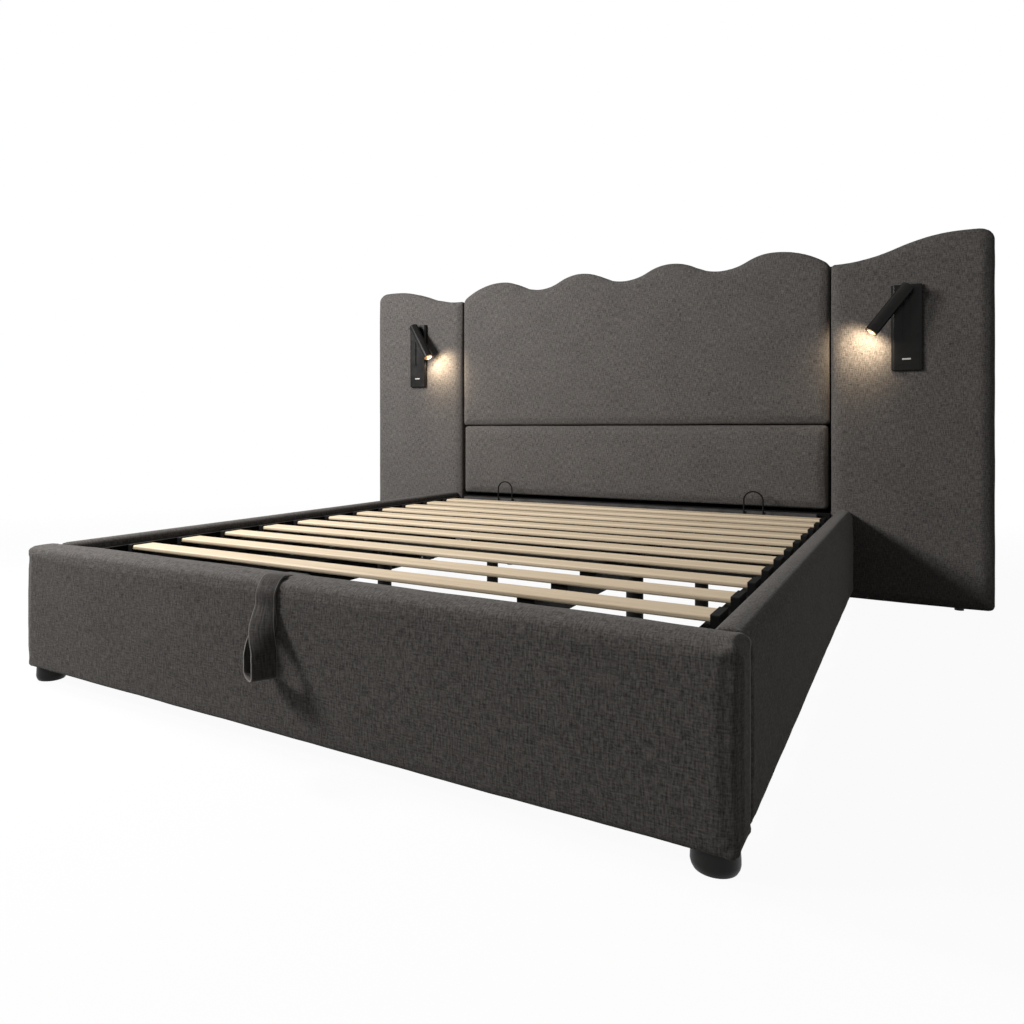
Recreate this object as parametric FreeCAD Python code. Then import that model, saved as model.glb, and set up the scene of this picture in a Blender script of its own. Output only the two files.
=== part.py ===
import FreeCAD, Part
import math
import os

# Upholstered lift-up storage bed with a wide winged headboard.
# X runs across the bed, Y from the foot to the head, Z up from the floor.
# All lengths are in millimetres and all angles in degrees.

os.makedirs("parts", exist_ok=True)

Vector = FreeCAD.Vector

# Whole bed
inner_width = 1664.0
inner_length = 2062.0
bump_count = 4
slat_count = 11

# Gaps and fits
soft_gap = 0.3
hole_fit = 0.06
pocket_fit = 0.2
running_gap = 0.5
open_pivot_gap = 1.5
cut_over = 2.0
match_tolerance = 0.03

# Cloth, boards and foam
lining_t = 2.0
board_t = 28.0
back_board_t = 18.0
back_cloth_t = 2.0
padding_t = 80.0

# Foot panel
foot_panel_t = 91.0
foot_panel_bottom = 39.0
foot_panel_height = 304.0
foot_core_t = 64.0
foot_core_wall = 18.0
foot_core_lift = 8.0
foot_core_end = 22.0
foot_cap_h = 23.0
panel_top_round = 25.0
panel_low_round = 9.0
panel_end_round = 11.0
panel_corner_round = 21.0
panel_back_round = 3.5
panel_crown = 5.0

# Side rails
rail_t = 59.0
rail_bottom = 44.0
rail_height = 308.0
rail_board_lift = 10.0
rail_cap_h = 26.0
rail_outer_round = 28.0
rail_inner_round = 22.0
rail_low_round = 14.0
rail_crown = 5.0

# Headboard
seam_in = 19.0
wing_width = 507.0
headboard_bottom = 16.0
cushion_low = 348.0
cushion_seam = 676.0
scallop_peak = 1365.0
scallop_depth = 53.0
shoulder_radius = 325.0
shoulder_corner = 40.0
wing_inner_top = 1291.0
wing_rise = 79.0
wing_flat = 40.0
wing_corner = 45.0
wing_low_corner = 20.0
seam_gap = 1.0
lower_cushion_inset = 8.0
cushion_round = 16.0
cushion_corner = 14.0
cushion_crown = 6.0
board_top_drop = 70.0
head_rail_proud = 1.0
head_rail_top = 335.0

# Feet and glides
bun_radius = 37.0
bun_belly_z = 12.0
bun_base_radius = 33.0
bun_top_radius = 35.0
bun_neck_radius = 24.0
bun_side_in = 42.0
bun_front_in = 48.0
glide_radius = 15.0
glide_x_shares = (0.45, 0.93)

# Lift frame of square steel tube
tube_side = 40.0
tube_wall = 2.0
end_tube_h = 60.0
tube_bottom = 261.0
end_tube_rise = 12.0
side_tube_gap = 21.0
foot_tube_gap = 12.0
head_tube_gap = 13.0
centre_tube_x = 430.0
front_cross_y = 971.5
rear_cross_y = 1747.5
leg_radius = 23.5
leg_wall = 2.0
leg_floor_gap = 3.0
leg_base_t = 10.0

# Slats, holders and pads
slat_width = 72.0
slat_t = 12.0
slat_edge_round = 4.5
slat_top = 328.0
first_slat_gap = 165.5
last_slat_gap = 54.5
slat_end_clearance = 4.0
slat_tongue_drop = 1.0
slat_tongue_clearance = 0.5
holder_length = 16.0
holder_rim = 2.5
pad_length = 50.0

# Mattress hoops
hoop_x = 547.0
hoop_width = 71.5
hoop_top = 415.5
hoop_wire_radius = 3.0
hoop_plate_t = 3.0
hoop_plate_width = 95.0
hoop_plate_height = 38.0
hoop_plate_drop = 8.0
hoop_wire_bite = 0.8

# Pull strap, a sewn loop of webbing
strap_width = 51.0
strap_centre = -22.0
strap_ply = 2.5
strap_top_gap = 2.0
strap_front_gap = 4.0
strap_anchor_drop = 45.0
strap_drop = 197.0
strap_split_drop = 43.0
strap_bulge = 32.0
strap_bulge_drop = 153.0
strap_over_round = 28.0
strap_bend_round = 6.0
strap_belly_round = 18.0
strap_toe_round = 11.0

# Lift linkage, one set on each side
lift_pivot_z = 282.0
long_pivot_back = 233.0
short_pivot_back = 334.0
long_arm_reach = 487.0
long_arm_rise = 5.5
short_arm_reach = 284.0
short_arm_rise = -3.0
arm_t = 5.0
arm_half_width = 14.0
plate_t = 5.0
plate_stand = 8.0
pin_radius = 6.0
pin_head_radius = 9.0
pin_head_t = 1.5
plate_front_in = 39.0
plate_back_in = 27.0
plate_top_in = 19.0
plate_low_z = 56.0
plate_low_back = 78.0
plate_round = 12.0
stand_radius = 10.0
stand_low_z = 78.0
stand_high_z = 214.0
stand_front_in = 21.0
stand_back_out = 76.0

# Gas springs
gas_base_back = 311.0
gas_base_z = 80.0
gas_stud_back = 629.0
gas_stud_z = 207.0
gas_axis_in = 30.0
gas_tube_radius = 11.0
gas_tube_wall = 1.5
gas_tube_end = 45.0
gas_gland_t = 12.0
gas_rod_radius = 5.0
gas_piston_t = 12.0
gas_piston_back = 40.0
gas_eye_radius = 11.0
gas_eye_width = 16.0
gas_eye_neck = 6.0
gas_stud_radius = 4.0
gas_bracket_t = 4.0
gas_bracket_width = 50.0
gas_bracket_low = 14.0
gas_bracket_in = 44.0

# Corner brackets and screws
bracket_leg = 70.0
bracket_head_leg = 28.0
bracket_t = 3.0
bracket_low = 70.0
bracket_high = 230.0
bracket_screw_shares = (0.22, 0.78)
screw_radius = 2.5
screw_length = 18.0
screw_head_radius = 4.5
screw_head_t = 2.5

# Reading lamps
lamp_x = 1064.5
lamp_bottom = 874.0
lamp_height = 311.0
lamp_width = 97.0
lamp_face_width = 79.0
lamp_cover_t = 14.0
lamp_plate_t = 4.0
lamp_plate_inset = 3.0
lamp_round = 4.0
lamp_pivot_z = 1165.0
lamp_reach = 31.0
slot_width = 25.0
slot_depth = 5.0
slot_bottom = 977.0
slot_top = 1138.0
knuckle_disc_radius = 17.0
knuckle_disc_t = 3.0
knuckle_shank_radius = 5.0
knuckle_shank_l = 9.0
knuckle_stem_radius = 6.5
knuckle_eye_radius = 7.5
knuckle_eye_width = 15.0
head_radius = 22.5
head_length = 193.0
head_back = 14.0
head_wall = 2.5
head_bore = 120.0
head_end_round = 6.0
head_pin_radius = 2.5
head_slot_half = 8.0
head_slot_depth = 9.0
lens_t = 4.0
lens_recess = 3.0
lamp_swivel_deg = 35.5
lamp_tilt_deg = 12.0
button_z = 914.0
button_length = 28.0
button_height = 5.5
button_proud = 1.8
button_depth = 9.0
button_rim = 2.0
switch_room_height = 60.0
switch_room_depth = 11.0

# Places worked out from the sizes above
inner_x = inner_width / 2
seam_x = inner_x - seam_in
rail_outer_x = inner_x + rail_t
head_y = foot_panel_t + inner_length
cushion_back_y = head_y + padding_t
board_back_y = cushion_back_y + back_board_t
headboard_back_y = board_back_y + back_cloth_t
half_width = seam_x + wing_width
foot_panel_top = foot_panel_bottom + foot_panel_height
head_rail_front = head_y - head_rail_proud
rail_top = rail_bottom + rail_height
wing_outer_top = wing_inner_top + wing_rise
tube_top = tube_bottom + tube_side
end_tube_bottom = tube_bottom + end_tube_rise
end_tube_top = end_tube_bottom + end_tube_h
tube_outer_x = inner_x - side_tube_gap
tube_inner_x = tube_outer_x - tube_side
foot_tube_y = foot_panel_t + foot_tube_gap
head_tube_y = head_y - head_tube_gap
slat_bottom = slat_top - slat_t
first_slat_y = foot_panel_t + first_slat_gap
last_slat_y = head_tube_y - tube_side - last_slat_gap - slat_width
slat_pitch = (last_slat_y - first_slat_y) / (slat_count - 1)

# Depths of the linkage beside each rail, measured as X
plate_out_x = inner_x - plate_stand
plate_in_x = plate_out_x - plate_t
long_arm_out_x = plate_in_x - running_gap
long_arm_in_x = long_arm_out_x - arm_t
short_arm_in_x = plate_out_x + running_gap
short_arm_out_x = short_arm_in_x + arm_t
gas_x = inner_x - gas_axis_in

# Pivots of the linkage, as (Y, Z)
long_base = (head_y - long_pivot_back, lift_pivot_z)
short_base = (head_y - short_pivot_back, lift_pivot_z)
long_tip = (long_base[0] - long_arm_reach, lift_pivot_z + long_arm_rise)
short_tip = (short_base[0] + short_arm_reach, lift_pivot_z + short_arm_rise)
gas_base = (head_y - gas_base_back, gas_base_z)
gas_tip = (head_y - gas_stud_back, gas_stud_z)

# Lamp places
lamp_back_y = head_y - soft_gap
lamp_joint_y = lamp_back_y - lamp_plate_t
lamp_front_y = lamp_joint_y - lamp_cover_t
lamp_pivot_y = lamp_front_y - lamp_reach
lamp_top = lamp_bottom + lamp_height

# Strap levels, and the origin at the middle of the whole footprint
strap_low_y = -strap_front_gap
strap_under_z = foot_panel_top + strap_top_gap
strap_over_z = strap_under_z + strap_ply + strap_ply
strap_front_y = strap_low_y - strap_bulge
origin_y = (strap_front_y + headboard_back_y) / 2


def box(x0, x1, y0, y1, z0, z1):
    """A box between two corners, given in any order along X."""
    low = min(x0, x1)
    return Part.makeBox(abs(x1 - x0), y1 - y0, z1 - z0, Vector(low, y0, z0))


def rod(radius, start, end):
    """A cylinder between two points."""
    along = end - start
    return Part.makeCylinder(radius, along.Length, start, along)


def rounded_edges(place, corners):
    """Lines and tangent arcs round a polygon of (u, v, radius) corners."""
    flat = [Vector(u, v, 0) for u, v, radius in corners]
    count = len(flat)
    starts = []
    ends = []
    arcs = []
    for i in range(count):
        point = flat[i]
        radius = corners[i][2]
        back = (flat[i - 1] - point).normalize()
        ahead = (flat[(i + 1) % count] - point).normalize()
        if radius == 0:
            starts.append(point)
            ends.append(point)
            arcs.append(None)
            continue
        half = back.getAngle(ahead) / 2
        reach = radius / math.tan(half)
        middle = (back + ahead).normalize()
        centre = point + middle * (radius / math.sin(half))
        starts.append(point + back * reach)
        ends.append(point + ahead * reach)
        arcs.append(centre - middle * radius)
    edges = []
    for i in range(count):
        if arcs[i] is not None:
            trio = [place(p.x, p.y) for p in (starts[i], arcs[i], ends[i])]
            edges.append(Part.Arc(*trio).toShape())
        following = starts[(i + 1) % count]
        if (following - ends[i]).Length > match_tolerance:
            straight = Part.LineSegment(place(ends[i].x, ends[i].y), place(following.x, following.y))
            edges.append(straight.toShape())
    return edges


def prism(place, corners, along):
    """A prism on a polygon with rounded corners."""
    return Part.Face(Part.Wire(rounded_edges(place, corners))).extrude(along)


def on_front(y):
    """Place (x, z) pairs on an upright plane across the bed."""
    return lambda x, z: Vector(x, y, z)


def on_side(x):
    """Place (y, z) pairs on an upright plane along the bed."""
    return lambda y, z: Vector(x, y, z)


def on_floor(z):
    """Place (x, y) pairs on a level plane."""
    return lambda x, y: Vector(x, y, z)


def arc(place, first, middle, last):
    """An arc through three places."""
    return Part.Arc(place(*first), place(*middle), place(*last)).toShape()


def line(place, first, last):
    """A straight edge between two places."""
    return Part.LineSegment(place(*first), place(*last)).toShape()


def crest(place, centre, radius, from_x, to_x, sign):
    """Part of a circle over the outline's X, above (1) or below (-1) its centre."""
    points = []
    for x in (from_x, (from_x + to_x) / 2, to_x):
        rise = math.sqrt(radius * radius - (x - centre[0]) ** 2)
        points.append((x, centre[1] + sign * rise))
    return arc(place, *points), points[0], points[2]


def mirror_x(shape):
    """The same shape on the other side of the bed."""
    return shape.mirror(Vector(0, 0, 0), Vector(1, 0, 0))


def both_sides(shape):
    """A shape and its mirror image."""
    return [shape, mirror_x(shape)]


def crown_slab(x0, x1, y_front, y_back, z0, z1, crown):
    """A slab whose front bulges by the crown between its lower and upper edges."""
    place = on_side(x0)
    middle = (z0 + z1) / 2
    edges = [
        arc(place, (y_front + crown, z0), (y_front, middle), (y_front + crown, z1)),
        line(place, (y_front + crown, z1), (y_back, z1)),
        line(place, (y_back, z1), (y_back, z0)),
        line(place, (y_back, z0), (y_front + crown, z0)),
    ]
    return Part.Face(Part.Wire(edges)).extrude(Vector(x1 - x0, 0, 0))


def front_edges(solid, y):
    """The edges that lie in one upright plane."""
    found = []
    for edge in solid.Edges:
        if all(abs(v.Y - y) < match_tolerance for v in edge.Vertexes):
            middle = edge.valueAt((edge.FirstParameter + edge.LastParameter) / 2)
            if abs(middle.y - y) < match_tolerance:
                found.append(edge)
    return found


def padded(edges, z0, z1, half):
    """A cushion on a front outline, with its rounded rim and its crown."""
    depth = padding_t - soft_gap
    block = Part.Face(Part.Wire(edges)).extrude(Vector(0, depth, 0))
    block = block.makeFillet(cushion_round, front_edges(block, head_y))
    slab = crown_slab(-half, half, head_y, head_y + depth + cut_over, z0, z1, cushion_crown)
    return block.common(slab)


def screw(head, direction):
    """A pan-head screw that points along a direction from under its head."""
    cap = rod(screw_head_radius, head - direction * screw_head_t, head)
    shank = rod(screw_radius, head, head + direction * screw_length)
    return cap.fuse(shank).removeSplitter()


def screw_hole(head, direction):
    """The hole that a screw passes through."""
    start = head - direction * cut_over
    end = head + direction * (screw_length + cut_over)
    return rod(screw_radius + hole_fit, start, end)


def tube_along(x0, x1, y0, y1, z0, z1, axis):
    """A rectangular tube that is open at both ends along one axis."""
    inset = [tube_wall, tube_wall, tube_wall]
    inset["XYZ".index(axis)] = -cut_over
    outer = box(x0, x1, y0, y1, z0, z1)
    bore = box(x0 + inset[0], x1 - inset[0], y0 + inset[1], y1 - inset[1], z0 + inset[2], z1 - inset[2])
    return outer.cut(bore)


def save(name, solids):
    """Write one node, moved so that the footprint's middle is the origin."""
    group = Part.makeCompound(solids) if len(solids) > 1 else solids[0]
    moved = group.translated(Vector(0, -origin_y, 0))
    moved.exportStep("parts/" + name + ".step")
    print(name, len(moved.Solids), round(moved.Volume / 1000))


# Screws that hold the corner brackets and the lift plates


def bracket_screws():
    """Heads and directions of the corner bracket screws on the +X side."""
    found = []
    for share in bracket_screw_shares:
        z = bracket_low + (bracket_high - bracket_low) * share
        mid = bracket_leg / 2 + bracket_t
        foot_mid_y = foot_panel_t + mid
        head_mid_y = head_rail_front - bracket_t - bracket_head_leg / 2
        rail_face = inner_x - bracket_t
        found.append((Vector(rail_face, foot_mid_y, z), Vector(1, 0, 0)))
        found.append((Vector(rail_face, head_mid_y, z), Vector(1, 0, 0)))
        found.append((Vector(inner_x - mid, foot_panel_t + bracket_t, z), Vector(0, -1, 0)))
        head_face = head_rail_front - bracket_t
        found.append((Vector(inner_x - mid, head_face, z), Vector(0, 1, 0)))
    return found


def stand_places():
    """Places (Y, Z) of the stand-offs of a lift plate."""
    front = short_base[0] - stand_front_in
    back = short_base[0] + stand_back_out
    return [(front, stand_low_z), (front, stand_high_z), (back, stand_low_z)]


def plate_screws():
    """Heads and directions of the lift plate screws on the +X side."""
    return [(Vector(plate_in_x, y, z), Vector(1, 0, 0)) for y, z in stand_places()]


def with_screw_holes(solid, screws):
    """Cut the holes of some screws, and of their mirror images, out of a solid."""
    for head, direction in screws:
        hole = screw_hole(head, direction)
        solid = solid.cut(hole).cut(mirror_x(hole))
    return solid


# Foot panel


def foot_neck():
    """The space that the neck of a bun foot takes in the padding."""
    x = rail_outer_x - bun_side_in
    low = Vector(x, bun_front_in, foot_panel_bottom - cut_over)
    high = Vector(x, bun_front_in, foot_panel_bottom + foot_core_lift)
    return rod(bun_neck_radius + soft_gap, low, high)


def make_foot_panel():
    """Core, padding and their fit to each other."""
    back = foot_panel_t - lining_t
    core_front = back - foot_core_t
    core_top = foot_panel_top - foot_cap_h
    core_low = foot_panel_bottom + foot_core_lift
    core_x = rail_outer_x - foot_core_end
    core = box(-core_x, core_x, core_front, back, core_low, core_top)
    room = box(-core_x - cut_over, core_x + cut_over, core_front + foot_core_wall, back - foot_core_wall,
               core_low + foot_core_wall, core_top - foot_core_wall)
    core = with_screw_holes(core.cut(room), bracket_screws())
    section = [
        (0, foot_panel_bottom, panel_low_round),
        (0, foot_panel_top, panel_top_round),
        (foot_panel_t, foot_panel_top, panel_back_round),
        (foot_panel_t, foot_panel_bottom, 0),
    ]
    plan = [
        (-rail_outer_x, 0, panel_end_round),
        (rail_outer_x, 0, panel_end_round),
        (rail_outer_x, foot_panel_t, panel_back_round),
        (-rail_outer_x, foot_panel_t, panel_back_round),
    ]
    width = Vector(rail_outer_x + rail_outer_x, 0, 0)
    body = prism(on_side(-rail_outer_x), section, width)
    body = body.common(prism(on_floor(foot_panel_bottom), plan, Vector(0, 0, foot_panel_height)))
    outline = [
        (-rail_outer_x, foot_panel_bottom, panel_corner_round),
        (rail_outer_x, foot_panel_bottom, panel_corner_round),
        (rail_outer_x, foot_panel_top, panel_corner_round),
        (-rail_outer_x, foot_panel_top, panel_corner_round),
    ]
    body = body.common(prism(on_front(0), outline, Vector(0, foot_panel_t, 0)))
    slab = crown_slab(-rail_outer_x, rail_outer_x, 0, foot_panel_t, foot_panel_bottom, foot_panel_top,
                      panel_crown)
    body = body.common(slab)
    nest = box(-core_x - soft_gap, core_x + soft_gap, core_front - soft_gap, foot_panel_t + cut_over,
               core_low - soft_gap, core_top + soft_gap)
    mouth = box(-inner_x, inner_x, core_front - soft_gap, foot_panel_t + cut_over,
                foot_panel_bottom - cut_over, core_top)
    neck = foot_neck()
    padding = body.cut(nest).cut(mouth).cut(neck).cut(mirror_x(neck))
    save("foot_panel_core", [core])
    save("foot_panel_padding", [padding])


# Side rails


def make_rails():
    """Boards and padding of the two side rails."""
    board_in = inner_x + lining_t
    board_out = board_in + board_t
    board_low = rail_bottom + rail_board_lift
    board_top = rail_top - rail_cap_h
    front = foot_panel_t + soft_gap
    back = head_y - soft_gap
    board = box(board_in, board_out, front, back, board_low, board_top)
    board = with_screw_holes(board, bracket_screws() + plate_screws())
    section = [
        (inner_x, rail_top, rail_inner_round),
        (rail_outer_x, rail_top, rail_outer_round),
        (rail_outer_x, rail_bottom, rail_low_round),
        (board_out + soft_gap, rail_bottom, 0),
        (board_out + soft_gap, board_top + soft_gap, 0),
        (inner_x, board_top + soft_gap, 0),
    ]
    length = Vector(0, back - front, 0)
    body = prism(on_front(front), section, length)
    middle = (rail_bottom + rail_top) / 2
    place = on_front(front)
    bulge = [
        arc(place, (rail_outer_x - rail_crown, rail_bottom), (rail_outer_x, middle),
            (rail_outer_x - rail_crown, rail_top)),
        line(place, (rail_outer_x - rail_crown, rail_top), (inner_x - cut_over, rail_top)),
        line(place, (inner_x - cut_over, rail_top), (inner_x - cut_over, rail_bottom)),
        line(place, (inner_x - cut_over, rail_bottom), (rail_outer_x - rail_crown, rail_bottom)),
    ]
    padding = body.common(Part.Face(Part.Wire(bulge)).extrude(length))
    for side, name in ((1, "right"), (-1, "left")):
        save(name + "_rail_board", [board if side > 0 else mirror_x(board)])
        save(name + "_rail_padding", [padding if side > 0 else mirror_x(padding)])


def make_lining():
    """Black cloth on the inner faces of the boards."""
    rail_low = rail_bottom + rail_board_lift
    rail_high = rail_top - rail_cap_h
    side = box(inner_x, inner_x + lining_t, foot_panel_t + soft_gap, head_y - soft_gap, rail_low, rail_high)
    side = with_screw_holes(side, bracket_screws() + plate_screws())
    core_low = foot_panel_bottom + foot_core_lift
    core_top = foot_panel_top - foot_cap_h
    end = box(-inner_x, inner_x, foot_panel_t - lining_t, foot_panel_t, core_low, core_top)
    end = with_screw_holes(end, bracket_screws())
    save("storage_lining", both_sides(side) + [end])


# Headboard


def upper_cushion_edges():
    """Outline of the upper cushion with its row of bumps."""
    place = on_front(head_y)
    half = seam_x - seam_gap / 2
    low = cushion_seam + seam_gap / 2
    pitch = (half + half) / bump_count
    quarter = pitch / 4
    swing = scallop_depth / 2
    radius = (quarter * quarter + swing * swing) / (swing + swing)
    peak_z = scallop_peak
    trough_z = scallop_peak - scallop_depth
    last_peak = half - pitch / 2
    side_x = half - shoulder_corner
    big = (last_peak, peak_z - shoulder_radius)
    inner = shoulder_radius - shoulder_corner
    corner_z = big[1] + math.sqrt(inner * inner - (side_x - last_peak) ** 2)
    stretch = shoulder_radius / inner
    touch = (big[0] + (side_x - big[0]) * stretch, big[1] + (corner_z - big[1]) * stretch)
    lean = math.atan2(touch[1] - corner_z, touch[0] - side_x) / 2
    turn = (side_x + shoulder_corner * math.cos(lean), corner_z + shoulder_corner * math.sin(lean))
    right = [arc(place, (half, corner_z), turn, touch)]
    shoulder, start, end = crest(place, big, shoulder_radius, touch[0], last_peak, 1)
    right.append(shoulder)
    x = last_peak
    for bump in range(bump_count // 2):
        hill, start, end = crest(place, (x, peak_z - radius), radius, x, x - quarter, 1)
        right.append(hill)
        dip_centre = (x - pitch / 2, trough_z + radius)
        dip, start, end = crest(place, dip_centre, radius, x - quarter, x - pitch / 2, -1)
        right.append(dip)
        x = x - pitch / 2
        if x > soft_gap:
            dip, start, end = crest(place, (x, trough_z + radius), radius, x, x - quarter, -1)
            right.append(dip)
            x = x - pitch / 2
            hill, start, end = crest(place, (x, peak_z - radius), radius, x + quarter, x, 1)
            right.append(hill)
    edges = right + [mirror_x(edge) for edge in right]
    for sign in (1, -1):
        foot_x = half - cushion_corner
        lift = low + cushion_corner
        diagonal = cushion_corner * math.cos(math.radians(45))
        edges.append(line(place, (sign * half, corner_z), (sign * half, lift)))
        turn = (sign * (foot_x + diagonal), lift - diagonal)
        edges.append(arc(place, (sign * half, lift), turn, (sign * foot_x, low)))
    edges.append(line(place, (half - cushion_corner, low), (cushion_corner - half, low)))
    return Part.__sortEdges__(edges)


def wing_edges():
    """Outline of the wing on the +X side, with its rising top."""
    place = on_front(head_y)
    left = seam_x + seam_gap / 2
    right = half_width
    crest_x = right - wing_flat - wing_corner
    start_x = left + cushion_corner
    middle_x = (start_x + crest_x) / 2
    run = middle_x - start_x
    rise = wing_rise / 2
    radius = (run * run + rise * rise) / (rise + rise)
    top = wing_outer_top
    hollow, start, join = crest(place, (start_x, wing_inner_top + radius), radius, start_x, middle_x, -1)
    hill, join, end = crest(place, (crest_x, top - radius), radius, middle_x, crest_x, 1)
    edges = [hollow, hill]
    turn = math.cos(math.radians(45))
    corner_x = right - wing_corner
    corner_z = top - wing_corner
    edges.append(line(place, (crest_x, top), (corner_x, top)))
    edges.append(arc(place, (corner_x, top), (corner_x + wing_corner * turn, corner_z + wing_corner * turn),
                     (right, corner_z)))
    low_x = right - wing_low_corner
    low_z = headboard_bottom + wing_low_corner
    edges.append(line(place, (right, corner_z), (right, low_z)))
    edges.append(arc(place, (right, low_z), (low_x + wing_low_corner * turn, low_z - wing_low_corner * turn),
                     (low_x, headboard_bottom)))
    near_z = headboard_bottom + cushion_corner
    edges.append(line(place, (low_x, headboard_bottom), (start_x, headboard_bottom)))
    edges.append(arc(place, (start_x, headboard_bottom),
                     (start_x - cushion_corner * turn, near_z - cushion_corner * turn), (left, near_z)))
    high_z = wing_inner_top - cushion_corner
    edges.append(line(place, (left, near_z), (left, high_z)))
    edges.append(arc(place, (left, high_z),
                     (start_x - cushion_corner * turn, high_z + cushion_corner * turn),
                     (start_x, wing_inner_top)))
    return Part.__sortEdges__(edges)


def make_headboard():
    """Cushions, wings, boards and back cloth."""
    half = seam_x - seam_gap / 2
    upper = padded(upper_cushion_edges(), cushion_seam, scallop_peak, half)
    lower_half = seam_x - lower_cushion_inset
    lower = [
        (-lower_half, cushion_low, cushion_corner),
        (lower_half, cushion_low, cushion_corner),
        (lower_half, cushion_seam - seam_gap / 2, cushion_corner),
        (-lower_half, cushion_seam - seam_gap / 2, cushion_corner),
    ]
    lower = padded(rounded_edges(on_front(head_y), lower), cushion_low, cushion_seam, lower_half)
    wing = padded(wing_edges(), headboard_bottom, wing_outer_top, half_width)
    save("upper_cushion", [upper])
    save("lower_cushion", [lower])
    save("right_wing_padding", [wing])
    save("left_wing_padding", [mirror_x(wing)])
    centre_top = scallop_peak - board_top_drop
    wing_top = wing_outer_top - board_top_drop - wing_rise
    wing_in = seam_x + seam_gap / 2
    wing_out = half_width - cushion_corner
    centre = box(-half, half, cushion_back_y, board_back_y, headboard_bottom, centre_top)
    side = box(wing_in, wing_out, cushion_back_y, board_back_y, headboard_bottom, wing_top)
    save("headboard_centre_board", [centre])
    save("wing_boards", both_sides(side))
    centre_cloth = box(-half, half, board_back_y, headboard_back_y, headboard_bottom, centre_top)
    side_cloth = box(wing_in, wing_out, board_back_y, headboard_back_y, headboard_bottom, wing_top)
    save("headboard_back_cloth", both_sides(side_cloth) + [centre_cloth])
    board_half = seam_x - soft_gap
    head_rail = box(-board_half, board_half, head_rail_front, cushion_back_y, rail_bottom, head_rail_top)
    room = box(-board_half - cut_over, board_half + cut_over,
               head_rail_front + board_t, cushion_back_y + cut_over,
               rail_bottom + board_t, head_rail_top + cut_over)
    save("head_rail_board", [with_screw_holes(head_rail.cut(room), bracket_screws())])


# Feet, brackets and screws


def bun_turn(edge_radius, edge_z):
    """Middle of the arc from an edge of the bun foot to its upright belly."""
    run = bun_radius - edge_radius
    rise = edge_z - bun_belly_z
    radius = (run * run + rise * rise) / (run + run)
    half_turn = math.asin(rise / radius) / 2
    return (bun_radius - radius + radius * math.cos(half_turn), bun_belly_z + radius * math.sin(half_turn))


def make_feet():
    """Bun feet under the foot panel and glides under the headboard."""
    x = rail_outer_x - bun_side_in
    top = foot_panel_bottom
    neck_top = top + foot_core_lift

    def place(radius, z):
        return Vector(x + radius, bun_front_in, z)

    edges = [
        line(place, (0, 0), (bun_base_radius, 0)),
        arc(place, (bun_base_radius, 0), bun_turn(bun_base_radius, 0), (bun_radius, bun_belly_z)),
        arc(place, (bun_radius, bun_belly_z), bun_turn(bun_top_radius, top), (bun_top_radius, top)),
        line(place, (bun_top_radius, top), (bun_neck_radius, top)),
        line(place, (bun_neck_radius, top), (bun_neck_radius, neck_top)),
        line(place, (bun_neck_radius, neck_top), (0, neck_top)),
        line(place, (0, neck_top), (0, 0)),
    ]
    foot = Part.Face(Part.Wire(edges)).revolve(Vector(x, bun_front_in, 0), Vector(0, 0, 1), 360)
    save("bun_feet", both_sides(foot))
    glides = []
    glide_y = cushion_back_y + back_board_t / 2
    for share in glide_x_shares:
        low = Vector(half_width * share, glide_y, 0)
        high = Vector(half_width * share, glide_y, headboard_bottom)
        glides = glides + both_sides(rod(glide_radius, low, high))
    save("headboard_glides", glides)


def angle_bracket(y_face, direction, rail_leg):
    """An angle in the corner between a rail and a cross face on the +X side."""
    y_leg = y_face + direction * rail_leg
    y_wall = y_face + direction * bracket_t
    rail_side = box(inner_x - bracket_t, inner_x, min(y_face, y_leg), max(y_face, y_leg),
                    bracket_low, bracket_high)
    cross_side = box(inner_x - bracket_leg, inner_x - bracket_t, min(y_face, y_wall), max(y_face, y_wall),
                     bracket_low, bracket_high)
    return rail_side.fuse(cross_side).removeSplitter()


def make_brackets():
    """Corner brackets and the screws in them."""
    front = angle_bracket(foot_panel_t, 1, bracket_leg)
    rear = angle_bracket(head_rail_front, -1, bracket_head_leg + bracket_t)
    solids = []
    for bracket in (front, rear):
        solids = solids + both_sides(with_screw_holes(bracket, bracket_screws()))
    save("corner_brackets", solids)
    screws = []
    for head, direction in bracket_screws():
        screws = screws + both_sides(screw(head, direction))
    save("corner_screws", screws)
    screws = []
    for head, direction in plate_screws():
        screws = screws + both_sides(screw(head, direction))
    save("lift_plate_screws", screws)


# Lift frame


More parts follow.
